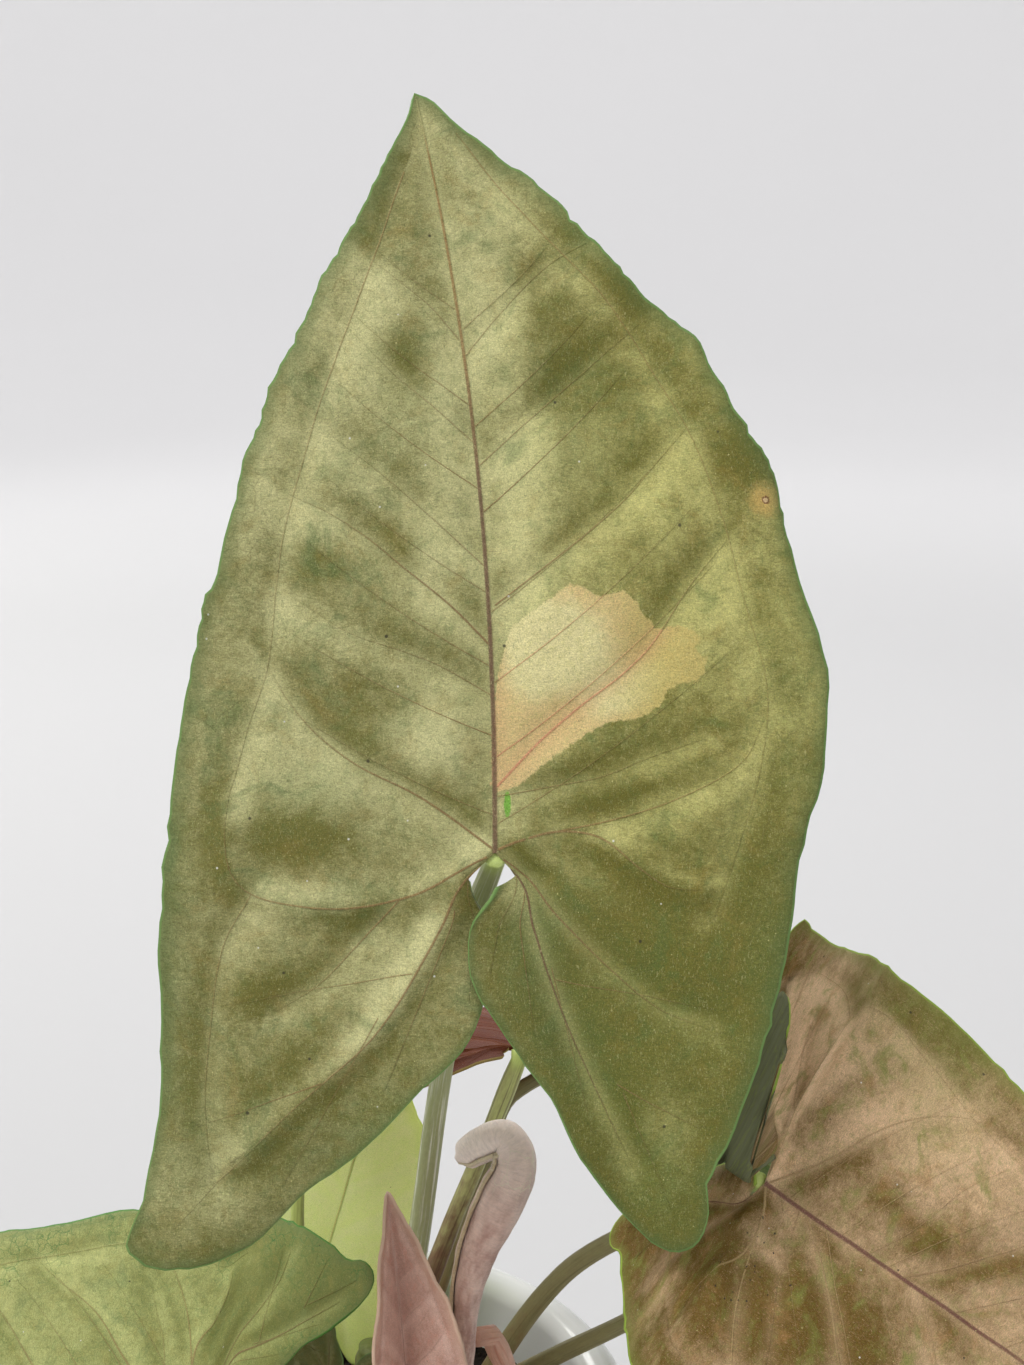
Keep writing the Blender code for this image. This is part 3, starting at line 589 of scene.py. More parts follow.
def extra_veins():
    """Thinner side veins between the main ones, along the leaf's rays."""
    made = []
    for side in (-1, 1):
        for i, ray in enumerate(EXTRA_RAYS):
            shares = np.linspace(0, 0.74, 7)
            points, _ = flat_grid(side, [ray + 0.12 * side], shares)
            made.append((side, 0.45, 0.55 + 0.12 * (i % 3), 0.25, [tuple(p) for p in points[0]]))
    return made


# Blades


def curled(leaf, side, ray, share, across):
    """Rolls the overhanging inner edge of the left lobe up and back over itself."""
    if not leaf.curl or side > 0:
        return across, 0.0
    first, last = CURL_REACH[0][0], CURL_REACH[-1][0]
    overhang = [through(CURL_REACH, min(max(r, first), last))[0] for r in ray[:, 0]]
    across = across + np.array(overhang)[:, None] * share
    reach = np.maximum(across - CURL_LINE, 0)
    turn = np.minimum(reach / leaf.curl, math.pi)
    returned = np.maximum(reach - math.pi * leaf.curl, 0)
    rolled = CURL_LINE + leaf.curl * np.sin(turn) - returned
    height = leaf.curl * (1 - np.cos(turn)) + CURL_LIFT * returned
    return np.where(across < CURL_LINE, across, rolled), height


def bent(y, z, length, degrees):
    """Bends the strip along y into an arc that falls by this many degrees over its length."""
    curve = math.radians(degrees) / length
    turn = curve * np.abs(y)
    reach = np.sin(turn) / curve + z * np.sin(turn)
    return np.copysign(reach, y), z * np.cos(turn) - (1 - np.cos(turn)) / curve


def shaped(leaf, side, flat, ray, share, relief):
    """Points of the leaf's upper face in the blade's own frame, in metres."""
    flat_y = flat[..., 1]
    across = (flat[..., 0] - sway_at(flat_y, STANDARD_SWAY)) * leaf.width
    y = np.where(flat_y > 0, flat_y, flat_y * leaf.lobes)
    across = across * (1 - leaf.taper * smooth(0, LOBE_LENGTH, -flat_y))
    for middle, width, amount in leaf.fuller:
        across = across * (1 + amount * share * np.exp(-(((ray - middle) / width) ** 2)) * (side < 0))
    size = leaf.length / STANDARD_LENGTH

    flat_round_petiole = smooth(*FLAT_ROUND_PETIOLE, np.hypot(across, y))
    fold = math.radians(leaf.fold) * flat_round_petiole
    z = np.sin(fold) * (np.hypot(across, RIB_ROUNDING) - RIB_ROUNDING)
    z = z - leaf.droop * 0.01 * across * across / 30 * flat_round_petiole
    z = z + leaf.wave * share**3 * np.sin(WAVE_TURN * ray + side) * smooth(0, 2, ray)
    near_notch = smooth(2, 8, -flat_y) * np.exp(-((across / NOTCH_REACH) ** 2))
    z = z + max(side * leaf.lap, 0) * near_notch / size
    z = z + relief
    across = across * np.cos(fold) + side * leaf.notch * smooth(0, 12, -flat_y)
    opening, reach = leaf.gap
    beside_notch = smooth(1, 4, -flat_y) * (1 - smooth(0.5 * reach, reach, -flat_y))
    across = across + side * opening * beside_notch * np.exp(-((across / GAP_WIDTH) ** 2))
    across, height = curled(leaf, side, ray, share, across)
    z = z + height

    upper_y, upper_z = bent(y, z, STANDARD_LENGTH, leaf.arch)
    lower_y, lower_z = bent(y, z, LOBE_LENGTH, leaf.droop)
    y, z = np.where(y > 0, upper_y, lower_y), np.where(y > 0, upper_z, lower_z)
    x = across + sway_at(flat_y, leaf.sway)
    if leaf.mirrored:
        x = -x
    return np.stack((x, y, z), axis=-1) * size * MM


def placement(leaf):
    """The blade's frame in the world."""
    tip = Vector(leaf.pointing).normalized()
    right = tip.cross(Vector(leaf.facing)).normalized()
    turned = Matrix((right, tip, right.cross(tip))).transposed().to_4x4()
    return Matrix.Translation(Vector(leaf.at) * MM) @ turned


def grid_faces(rows, columns, first, flipped):
    """Quads between the points of a grid, whose points are numbered row by row from first."""
    faces = []
    for i in range(rows - 1):
        for j in range(columns - 1):
            a = first + i * columns + j
            quad = (a, a + 1, a + columns + 1, a + columns)
            faces.append(quad[::-1] if flipped else quad)
    return faces


def make_mesh(name, points, faces, fields):
    """A smooth mesh with a number, or a triple, of each field on every point."""
    mesh = bpy.data.meshes.new(name)
    mesh.from_pydata([tuple(p) for p in points], [], faces)
    for field, values in fields.items():
        values = np.asarray(values, np.float32)
        triple = values.ndim == 2
        layer = mesh.attributes.new(field, "FLOAT_VECTOR" if triple else "FLOAT", "POINT")
        layer.data.foreach_set("vector" if triple else "value", values.ravel())
    mesh.shade_smooth()
    return mesh


def link(name, mesh):
    obj = bpy.data.objects.new(name, mesh)
    bpy.context.scene.collection.objects.link(obj)
    return obj


def blade_sheet(name, leaf, veins):
    """The blade's upper face as one welded sheet, with its fields."""
    rays = np.linspace(0, LAST_RAY, LAST_RAY * leaf.grid[0] + 1)
    shares = np.linspace(0, 1, leaf.grid[1] + 1)
    size = leaf.length / STANDARD_LENGTH
    points, faces, sides = [], [], []
    fields = {field: [] for field in BLADE_FIELDS}
    for side in (-1, 1):
        flat, lengths = flat_grid(side, rays, shares)
        x, y = flat[..., 0], flat[..., 1]
        ray = rays[:, None] + 0 * x
        share = shares[None, :] + 0 * x
        quilt, lit, vein_distance = vein_relief(side, veins, x, y)
        relief = leaf.puff * quilt * smooth(0, 6, np.hypot(x, y)) * (1 - 0.7 * share**4)
        bumpy = [noise.noise(Vector((a * 0.11, b * 0.11, 3.0 + len(name)))) for a, b in flat.reshape(-1, 2)]
        relief = relief + 0.55 * leaf.puff * np.array(bumpy).reshape(x.shape) * smooth(0, 10, np.hypot(x, y))
        block = shaped(leaf, side, flat, ray, share, relief)
        first = sum(len(p) for p in points)
        points.append(block.reshape(-1, 3))
        facing_down = (side == -1) == leaf.mirrored
        made = grid_faces(len(rays), len(shares), first, facing_down)
        faces += made
        sides += [side] * len(made)
        fields["flat"].append(np.stack((x, y, 0 * x), -1).reshape(-1, 3))
        fields["edge"].append(((1 - share) * lengths[:, None] * size).ravel())
        fields["near"].append(np.exp(-((vein_distance / 1.6) ** 2)).ravel())
        darker = np.where(side * (-1 if leaf.mirrored else 1) > 0, 0.75, 0.25) * smooth(-30, 20, -y)
        # Painted shade and highlight: lit paints top light and shade on the quilting's slopes into the
        # tissue's tone, with the zones' painted highlights and shade
        tone_and_shade = zone_sum(leaf.zones, x, y) + 0.9 * lit - darker - 0.3 * smooth(20, 60, -y)
        fields["tone_and_shade"].append(tone_and_shade.ravel())
        cool = 0.4 * smooth(5, 50, -y)
        if leaf.zones:
            cool = zone_sum(COOL_ZONES if leaf.zones is FRONT_ZONES else RIGHT_COOL_ZONES, x, y)
        fields["lobe"].append((np.minimum(cool, 1.2) + 0 * x).ravel())
        has_patch = leaf.zones is FRONT_ZONES
        fields["patch"].append((inside_by(PATCH, x, y) if has_patch else 0 * x - 9).ravel())
        fields["cream"].append(zone_sum(CREAM, x, y).ravel())
    joined = {field: np.concatenate(values) for field, values in fields.items()}
    mesh = make_mesh(name, np.concatenate(points), faces, joined)
    layer = mesh.attributes.new("side", "INT", "FACE")
    layer.data.foreach_set("value", sides)
    welded = bmesh.new()
    welded.from_mesh(mesh)
    bmesh.ops.remove_doubles(welded, verts=welded.verts, dist=1e-6)
    bmesh.ops.triangulate(welded, faces=welded.faces)
    welded.to_mesh(mesh)
    welded.free()
    mesh.shade_smooth()
    return mesh


class Ground:
    """Finds the place, normal and fields of a blade's sheet over a point of the flat leaf."""

    def __init__(self, mesh):
        count = len(mesh.vertices)
        self.fields = {}
        for layer in mesh.attributes:
            if layer.domain == "POINT" and layer.data_type in ("FLOAT", "FLOAT_VECTOR"):
                wide = 3 if layer.data_type == "FLOAT_VECTOR" else 1
                values = np.zeros(count * wide, np.float32)
                layer.data.foreach_get("vector" if wide == 3 else "value", values)
                self.fields[layer.name] = values.reshape(count, wide)
        self.fields["place"] = np.array([v.co for v in mesh.vertices])
        self.fields["normal"] = np.array([n.vector for n in mesh.vertex_normals])
        self.fields.pop("position", None)
        flat = [Vector(p) for p in self.fields["flat"]]
        sides = [d.value for d in mesh.attributes["side"].data]
        self.triangles, self.trees = {}, {}
        for side in (-1, 1):
            chosen = [tuple(p.vertices) for p, s in zip(mesh.polygons, sides) if s == side]
            self.triangles[side] = chosen
            self.trees[side] = BVHTree.FromPolygons(flat, chosen)

    def at(self, side, x, y):
        spot, _, index, _ = self.trees[side].find_nearest(Vector((x, y, 0)))
        corners = list(self.triangles[side][index])
        a, b, c = self.fields["flat"][corners][:, :2]
        edges = np.array((b - a, c - a)).T + np.eye(2) * 1e-7
        u, v = np.clip(np.linalg.solve(edges, np.array(spot[:2]) - a), 0, 1)
        weights = np.array((max(1 - u - v, 0), u, v))
        weights /= weights.sum()
        return {field: weights @ values[corners] for field, values in self.fields.items()}


def lay_veins(leaf, ground, veins, below):
    """Thin ridges along the veins: on the upper face, or as thicker ribs under the blade."""
    offsets = np.array((-1, -0.55, 0, 0.55, 1))
    profile = np.array((0, 0.75, 1, 0.75, 0))
    size = leaf.length / STANDARD_LENGTH
    points, faces = [], []
    fields = {field: [] for field in BLADE_FIELDS}
    vein, maroon = [], []
    for side, width, strength, maroon_share, path in veins:
        line = resampled(path, 1.3)
        tangent = np.gradient(line, axis=0)
        tangent /= np.linalg.norm(tangent, axis=1)[:, None]
        across = np.stack((tangent[:, 1], -tangent[:, 0]), 1)
        first = len(points)
        for i, (x, y) in enumerate(line):
            share = i / (len(line) - 1)
            fade = (1 - share) ** 0.6 * 0.75 + 0.25
            half = width * fade * VEIN_WIDTH / max(size, 0.6)
            height = (width * 0.42 * fade if below else 0.07 + 0.06 * width) * min(size + 0.3, 1)
            for k, bump in zip(offsets, profile):
                px, py = x + across[i, 0] * k * half, y + across[i, 1] * k * half
                use = side
                if side == 0:
                    use = -1 if px < sway_at(py, STANDARD_SWAY) else 1
                found = ground.at(use, px, py)
                lift = -(THICKNESS - 0.02 + bump * height) if below else bump * height + 0.01
                points.append(found["place"] + found["normal"] * lift * MM)
                for field, values in fields.items():
                    values.append(found[field] if field == "flat" else float(found[field][0]))
                vein.append(bump * strength * (fade if side else 0.9) * float(smooth(1, 0.9, share)))
                maroon.append(maroon_share if side else float(1 - smooth(0.42, 0.75, share)))
        flipped = leaf.mirrored != below
        faces += grid_faces(len(line), len(offsets), first, not flipped)
    fields["vein"], fields["maroon"] = vein, maroon
    return points, faces, fields


def build_blade(name, leaf):
    """A blade with its two faces and its ridges, as one piece."""
    look = LOOKS[leaf.look]
    standard = list(VEINS) + extra_veins()
    midrib = (0, MIDRIB[0], MIDRIB[1], MIDRIB[2], midrib_path())
    sheet = blade_sheet(name + "_leaf", leaf, standard)
    sheet.attributes.new("vein", "FLOAT", "POINT")
    sheet.attributes.new("maroon", "FLOAT", "POINT")
    ground = Ground(sheet)
    obj = link(name + "_leaf", sheet)
    solid = obj.modifiers.new("thickness", "SOLIDIFY")
    solid.thickness = THICKNESS * MM
    solid.offset = -1
    solid.material_offset = 1
    sheet.materials.append(blade_material(name + "_upper", look, leaf))
    sheet.materials.append(under_material(name + "_under", look))
    ridge_paint = sheet.materials[0]
    if look.glow > GLOWING:
        ridge_paint = blade_material(name + "_ridges", look._replace(glow=0.1), leaf)
    evaluated = obj.evaluated_get(bpy.context.evaluated_depsgraph_get())
    obj.modifiers.clear()
    obj.data = bpy.data.meshes.new_from_object(evaluated)
    ridges = []
    for below in (False, True):
        chosen = [midrib] + (list(VEINS) if below else standard)
        if look.glow > GLOWING:
            if below:
                continue
            chosen = [midrib]
        points, faces, fields = lay_veins(leaf, ground, chosen, below)
        mesh = make_mesh("ridges", points, faces, fields)
        mesh.materials.append(ridge_paint)
        mesh.materials.append(obj.data.materials[1])
        mesh.polygons.foreach_set("material_index", [int(below)] * len(faces))
        ridges.append(link("ridges", mesh))
    with bpy.context.temp_override(active_object=obj, selected_editable_objects=[obj, *ridges]):
        bpy.ops.object.join()
    obj.data.name = name + "_leaf"
    obj.data.transform(placement(leaf))
    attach(obj, "root")
    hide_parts(name + "_blade")


# Materials


class Nodes:
    """Shorthand for a material's node tree."""

    def __init__(self, name):
        self.material = bpy.data.materials.new(name)
        self.material.use_nodes = True
        self.tree = self.material.node_tree
        self.shader = self.tree.nodes["Principled BSDF"]

    def put(self, socket, value):
        if isinstance(value, bpy.types.NodeSocket):
            self.tree.links.new(value, socket)
        elif socket.type == "RGBA":
            socket.default_value = (*value, 1)
        else:
            socket.default_value = value

    def node(self, kind, inputs, output=0, **settings):
        made = self.tree.nodes.new("ShaderNode" + kind)
        for key, value in settings.items():
            setattr(made, key, value)
        for key, value in inputs.items():
            self.put(made.inputs[key], value)
        return made.outputs[output]

    def field(self, name, output="Fac"):
        return self.node("Attribute", {}, output, attribute_name=name)

    def place(self):
        return self.node("TexCoord", {}, "Object")

    def moved(self, coords, scale=(1, 1, 1), by=(0, 0, 0)):
        return self.node("Mapping", {"Vector": coords, "Location": by, "Scale": scale})

    def noise(self, coords, scale, detail=3.0, rough=0.55, twist=0.0, output="Fac"):
        inputs = {"Vector": coords, "Scale": scale, "Detail": detail, "Roughness": rough, "Distortion": twist}
        return self.node("TexNoise", inputs, output)

    def warped(self, coords, amount, scale):
        colour = self.noise(coords, scale, 2.0, output="Color")
        inputs = {0: colour, 1: (amount, amount, amount), 2: coords}
        return self.node("VectorMath", inputs, operation="MULTIPLY_ADD")

    def cells(self, coords, scale, feature="DISTANCE_TO_EDGE", output="Distance"):
        return self.node("TexVoronoi", {"Vector": coords, "Scale": scale}, output, feature=feature)

    def step(self, value, low, high):
        """0 at low and 1 at high, and the other way round where low is above high."""
        inputs = {"Value": value, "From Min": low, "From Max": high}
        return self.node("MapRange", inputs, "Result", interpolation_type="SMOOTHSTEP")

    def math(self, operation, a, b=0.0, c=0.0):
        return self.node("Math", {0: a, 1: b, 2: c}, operation=operation)

    def times(self, a, b):
        return self.math("MULTIPLY", a, b)

    def mix(self, share, a, b, blend="MIX"):
        return self.node("Mix", {0: share, 6: a, 7: b}, 2, data_type="RGBA", blend_type=blend)

    def grained(self, colour, grain, amount):
        """The colour made lighter and darker by a grain round one half."""
        grey = self.math("MULTIPLY_ADD", grain, amount, 1 - amount / 2)
        return self.mix(1.0, colour, grey, "MULTIPLY")

    def finish(self, colour, rough, height=None, depth=0.0002, strength=0.6, **sockets):
        self.put(self.shader.inputs["Base Color"], colour)
        self.put(self.shader.inputs["Roughness"], rough)
        if height is not None:
            inputs = {"Strength": strength, "Distance": depth, "Height": height}
            self.put(self.shader.inputs["Normal"], self.node("Bump", inputs, "Normal"))
        for socket, value in sockets.items():
            self.shader.inputs[socket.replace("_", " ").title().replace("Ior", "IOR")].default_value = value
        return self.material


def blade_material(name, look, leaf):
    """A leaf's upper face: mottled tissue with painted highlights and shade of its quilting, grain, fine net,
    veins, specks and a thin green margin.
    """
    n = Nodes(name)
    seed = (17.0 * len(name), 5.0 * leaf.length, 0)
    flat = n.field("flat", "Vector")
    own = n.moved(flat, by=seed)
    fine = n.noise(n.moved(n.warped(own, 3.0, 0.08), (0.8, 2.0, 1)), 1.9, 4, 0.8, 0.8)
    large = n.noise(own, 0.075, 4, 0.6, 0.8)
    medium = n.noise(own, 0.36, 5, 0.65, 0.5)
    # The tone field lightens and darkens the tissue, with painted highlights and shade of the quilting
    light = n.math("MULTIPLY_ADD", n.field("tone_and_shade"), 0.6, n.math("MULTIPLY_ADD", large, 0.8, -0.45))
    light = n.math("MULTIPLY_ADD", medium, 0.9, light)
    light = n.math("MULTIPLY_ADD", fine, 0.6, light)
    colour = n.mix(n.step(light, 0.1, 1.45), look.dark, look.light)
    moss = n.step(n.noise(n.moved(own, by=(60, 11, 0)), 0.11, 4, 0.65, 1.0), 0.52, 0.72)
    colour = n.mix(n.times(moss, look.mossy), colour, look.moss)
    rust = n.step(n.noise(n.moved(own, by=(9, 70, 0)), 0.17, 5, 0.7, 0.6), 0.5, 0.72)
    colour = n.mix(n.times(rust, look.rusty), colour, look.rust)

    bent_flat = n.warped(own, 2.2, 0.45)
    cell = n.cells(bent_flat, look.net_scale)
    small_cell = n.cells(n.warped(own, 1.0, 1.2), look.net_scale * 3.1)
    line = n.step(cell, 0.06, 0.0)
    small_line = n.times(n.step(small_cell, 0.09, 0.0), 0.45)
    net = n.math("MAXIMUM", line, small_line)
    patchy = n.step(n.noise(n.moved(own, by=(33, 5, 0)), 0.09, 2), 0.38, 0.6)
    near_edge = n.math("MULTIPLY_ADD", n.step(n.field("edge"), 16.0, 3.0), 0.7, 0.3)
    shown = n.times(n.times(net, patchy), n.times(near_edge, look.net))
    colour = n.mix(shown, colour, look.net_colour)
    mottle = n.noise(n.moved(n.warped(own, 1.5, 0.3), by=(3, 44, 0)), 0.5, 4, 0.75)
    colour = n.mix(n.times(n.step(mottle, 0.5, 0.66), 0.45 * look.mossy), colour, look.moss)

    colour = n.mix(n.times(n.field("lobe"), n.math("MULTIPLY_ADD", medium, 0.9, 0.0)), colour, look.moss)
    # Lighter tissue along the veins: partly the leaf's pale vein bands, partly painted highlight on the lit
    # slopes beside them
    colour = n.mix(n.times(n.field("near"), 0.32), colour, look.light)
    vein_colour = n.mix(n.field("maroon"), look.vein, look.rib)
    if look.patch and leaf.zones:
        colour, vein_colour = add_patch(n, colour, vein_colour, flat, medium)
    colour = n.mix(n.times(n.step(n.field("vein"), 0.05, 0.85), 0.9), colour, vein_colour)
    fibre = n.noise(n.moved(n.warped(own, 2.0, 0.1), (3.4, 1.1, 1), (4, 9, 0)), 1.5, 3, 0.75, 1.2)
    colour = n.mix(n.times(n.step(fibre, 0.54, 0.68), 0.5), colour, look.moss)
    colour = n.mix(n.times(n.step(fibre, 0.46, 0.32), 0.4), colour, look.light)
    colour = n.grained(colour, fine, 1.2)
    colour = n.grained(colour, n.noise(own, 4.6, 2, 0.6), 1.1)
    colour = add_specks(n, colour, own)
    if leaf.zones is RIGHT_ZONES:
        colour = add_dark_specks(n, colour, flat)

    wobble = n.math("MULTIPLY_ADD", medium, -1.0, n.field("edge"))
    colour = n.mix(n.times(n.step(wobble, 3.2, -0.4), 0.5), colour, look.moss)
    to_margin = n.math("MULTIPLY_ADD", fine, -0.3, n.field("edge"))
    colour = n.mix(n.step(to_margin, 0.35, 0.05), colour, look.margin)
    height = n.math("MULTIPLY_ADD", net, -0.35, n.math("MULTIPLY_ADD", medium, 0.5, n.times(fine, 0.8)))
    rough = n.math("MULTIPLY_ADD", fine, 0.25, 0.38)
    return n.finish(
        colour, rough, height, 0.0003, 0.55,
        subsurface_weight=look.glow, subsurface_radius=(1.0, 1.0, 0.6), subsurface_scale=look.depth,
        specular_ior_level=0.22,
    )


def add_patch(n, colour, vein_colour, flat, medium):
    """The warmer right half, the cream and pink patch, a bright green spot and an amber spot with a ring."""
    across = n.node("SeparateXYZ", {0: flat}, "X")
    warmer = n.mix(1.0, colour, (1.0, 0.97, 0.55), "MULTIPLY")
    colour = n.mix(n.times(n.step(across, -6.0, 24.0), 0.6), colour, warmer)
    ragged = n.noise(flat, 0.9, 4, 0.7)
    field = n.math("MULTIPLY_ADD", ragged, 2.0, n.math("SUBTRACT", n.field("patch"), 1.0))
    mask = n.step(field, -0.15, 0.2)
    creamy = n.step(n.math("MULTIPLY_ADD", medium, 0.5, n.field("cream")), 0.35, 1.0)
    inner = n.mix(creamy, (0.72, 0.54, 0.25), (0.78, 0.71, 0.37))
    inner = n.mix(n.times(n.step(across, 15.0, 26.0), 0.75), inner, (0.53, 0.43, 0.12))
    inner = n.mix(n.times(n.step(ragged, 0.42, 0.7), 0.4), inner, (0.56, 0.52, 0.19))
    inner = n.mix(n.times(n.field("near"), 0.45), inner, (0.68, 0.38, 0.19))
    colour = n.mix(n.times(mask, 0.88), colour, inner)
    pink = n.times(mask, n.step(n.field("maroon"), 0.8, 0.5))
    vein_colour = n.mix(pink, vein_colour, (0.62, 0.27, 0.15))
    spots = (
        (GREEN_SPOT[:2], (1 / GREEN_SPOT[2], 1 / GREEN_SPOT[3]), 1.15, 0.7, (0.16, 0.42, 0.04), 0.9),
        (AMBER_SPOT[:2], (1 / AMBER_SPOT[2],) * 2, 1.4, 0.4, (0.62, 0.42, 0.13), 0.8),
        (AMBER_SPOT[:2], (1.0, 1.0), 0.62, 0.5, (0.20, 0.07, 0.03), 0.9),
        (AMBER_SPOT[:2], (1.0, 1.0), 0.40, 0.3, (0.75, 0.55, 0.30), 0.9),
    )
    for (x, y), (sx, sy), outer, inner_edge, paint, amount in spots:
        local = n.moved(flat, (sx, sy, 1), (-x * sx, -y * sy, 0))
        distance = n.node("VectorMath", {0: local}, "Value", operation="LENGTH")
        distance = n.math("MULTIPLY_ADD", ragged, 1.2, n.math("SUBTRACT", distance, 0.6))
        colour = n.mix(n.times(n.step(distance, outer, inner_edge), amount), colour, paint)
    return colour, vein_colour


def add_specks(n, colour, own):
    """A few white and dark specks."""
    for by, scale, size, paint in (
        ((5, 5, 0), 0.16, 0.035, (0.80, 0.80, 0.72)),
        ((90, 40, 0), 0.13, 0.045, (0.035, 0.03, 0.02)),
        ((20, 80, 0), 0.34, 0.05, (0.62, 0.58, 0.25)),
    ):
        distance = n.cells(n.moved(own, by=by), scale, "F1")
        colour = n.mix(n.times(n.step(distance, size, size * 0.5), 0.8), colour, paint)
    return colour


def add_dark_specks(n, colour, flat):
    """A group of small dark specks on one side of the midrib."""
    x, y, reach = SPECK_GROUP
    local = n.moved(flat, (1 / reach, 1 / reach, 1), (-x / reach, -y / reach, 0))
    distance = n.node("VectorMath", {0: local}, "Value", operation="LENGTH")
    few = n.step(n.noise(n.moved(flat, by=(7, 3, 0)), 0.5, 2), 0.46, 0.56)
    shown = n.times(n.step(distance, 1.0, 0.7), few)
    spots = n.step(n.cells(n.warped(flat, 0.8, 1.1), 0.75, "F1"), 0.2, 0.13)
    return n.mix(n.times(n.times(spots, shown), 0.9), colour, (0.03, 0.022, 0.018))


def under_material(name, look):
    """A leaf's lower face: paler and duller, with the ribs standing out."""
    n = Nodes(name)
    flat = n.field("flat", "Vector")
    medium = n.noise(flat, 0.3, 5, 0.6, 0.5)
    fine = n.noise(flat, 2.4, 4, 0.7)
    colour = n.mix(n.step(medium, 0.35, 0.7), look.under, tuple(0.75 * c for c in look.under))
    net = n.step(n.cells(n.warped(flat, 2.2, 0.45), look.net_scale), 0.07, 0.0)
    colour = n.mix(n.times(net, 0.35), colour, look.moss)
    rib = tuple(min(1.15 * c, 1.0) for c in look.under)
    colour = n.mix(n.times(n.field("vein"), 0.7), colour, n.mix(n.field("maroon"), rib, look.vein))
    colour = n.grained(colour, fine, 0.3)
    height = n.math("MULTIPLY_ADD", net, 0.5, fine)
    return n.finish(
        colour, n.math("MULTIPLY_ADD", fine, 0.2, 0.5), height, 0.0002, 0.5,
        subsurface_weight=look.glow, subsurface_radius=(1.0, 1.0, 0.5), subsurface_scale=0.0008,
        specular_ior_level=0.15,
    )


def stalk_material(name, look_name):
    """A petiole or stem: colour that changes along it, with long fine streaks."""
    foot, middle, top, streak, end = STALKS[look_name]
    n = Nodes(name)
    along = n.field("along")
    round_it = n.field("round", "Vector")
    streaks = n.noise(n.moved(round_it, (3.2, 3.2, 0.05)), 1.0, 4, 0.6, 0.2)
    mottle = n.noise(n.moved(round_it, (1.0, 1.0, 0.25)), 1.0, 4, 0.6)
    shifted = n.math("MULTIPLY_ADD", n.math("SUBTRACT", mottle, 0.5), 0.5, along)
    colour = n.mix(n.step(shifted, 0.1, 0.45), foot, middle)
    colour = n.mix(n.step(shifted, 0.5, 0.95), colour, top)
    fresh = n.times(n.step(along, 0.955, 0.985), 0.8)
    colour = n.mix(n.times(n.step(streaks, 0.48, 0.72), 0.7), colour, streak)
    colour = n.mix(fresh, colour, end)
    fine = n.noise(n.moved(round_it, (6, 6, 0.8)), 1.0, 3, 0.6)
    colour = n.grained(colour, fine, 0.4)
    return n.finish(
        colour, n.math("MULTIPLY_ADD", fine, 0.2, 0.32), streaks, 0.0003, 0.5,
        subsurface_weight=0.1, subsurface_radius=(1.0, 1.0, 0.4), subsurface_scale=0.001,
        specular_ior_level=0.3,
    )


# Petioles and stems


def sweep(points, radii, sides, ridges=0, groove=0.0):
    """A closed rod round a line of points, in metres, with its fields."""
    line = np.array(points, float)
    tangent = np.gradient(line, axis=0)
    tangent /= np.linalg.norm(tangent, axis=1)[:, None]
    across = np.array((1.0, 0, 0))
    length = np.concatenate(((0,), np.cumsum(np.linalg.norm(np.diff(line, axis=0), axis=1))))
    turns = np.linspace(0, 2 * math.pi, sides, endpoint=False)
    rings, round_it, along = [], [], []
    for i, centre in enumerate(line):
        across = across - tangent[i] * across.dot(tangent[i])
        across /= np.linalg.norm(across)
        up = np.cross(tangent[i], across)
        away = np.abs(turns - 1.5 * math.pi)
        reach = radii[i] * (1 + 0.05 * ridges * np.cos(5 * turns) - groove * np.exp(-((away / 0.42) ** 2)))
        rings.append(centre + np.outer(np.cos(turns) * reach, across) + np.outer(np.sin(turns) * reach, up))
        round_it.append(np.stack((np.cos(turns), np.sin(turns), 0 * turns + length[i]), 1))
        along += [length[i] / length[-1]] * sides
    points = [*np.concatenate(rings), line[0], line[-1]]
    faces = []
    for i in range(len(line) - 1):
        for j in range(sides):
            k = (j + 1) % sides
            faces.append((i * sides + j, i * sides + k, (i + 1) * sides + k, (i + 1) * sides + j))
    last, foot, top = (len(line) - 1) * sides, len(points) - 2, len(points) - 1
    for j in range(sides):
        k = (j + 1) % sides
        faces.append((k, j, foot))
        faces.append((last + j, last + k, top))
    fields = {
        "round": np.concatenate((*round_it, ((0, 0, 0), (0, 0, length[-1])))),
        "along": [*along, 0, 1],
    }
    return np.array(points) * MM, faces, fields


def petiole_end(leaf):
    """A point behind the blade, and the petiole's upper end under the blade."""
    place = placement(leaf)
    back = -place.col[2].to_3d()
    base = -place.col[1].to_3d()
    end = Vector(leaf.at) + back * BLADE_BACK + base
    return end + back * leaf.neck + base * 0.4, end


def petiole_points(route, end, radii):
    """Points and radii from under the soil, up a smooth curve, to the end under the blade."""
    foot_x, foot_y = route[0]
    course = [(foot_x, foot_y, SOIL_TOP - SOIL_ENTRY), (foot_x, foot_y, SOIL_TOP + 3), *route[1:]]
    course = knotted(course)
    length = course[-1][0]
    steps = max(int(length / PETIOLE_STEP), 8)
    places = [(foot_x, foot_y, SOIL_TOP - PETIOLE_DEPTH)]
    sizes = [radii[0]]
    for i in range(steps + 1):
        share = i / steps
        places.append(tuple(through(course, share * length)))
        neck = 0.16 * math.exp(-(((share - 0.93) / 0.06) ** 2))
        sheath = 0.1 * math.exp(-((share / 0.12) ** 2))
        sizes.append((radii[0] + (radii[1] - radii[0]) * share**0.7) * (1 + neck + sheath))
    places.append(tuple(end))
    sizes.append(radii[1])
    return places, sizes


def build_petiole(name, node, route, ends, radii, look, ridges=0, into=None):
    lower, upper = ends
    places, sizes = petiole_points((*route, tuple(lower)), tuple(upper), radii)
    if into:
        places.append(into)
        sizes.append(radii[1] * 0.9)
    points, faces, fields = sweep(places, sizes, 20, ridges, 0.12)
    obj = link(name, make_mesh(name, points, faces, fields))
    obj.data.materials.append(stalk_material(name, node if node in STALKS else look))
    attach(obj, "root")
    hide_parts(node)


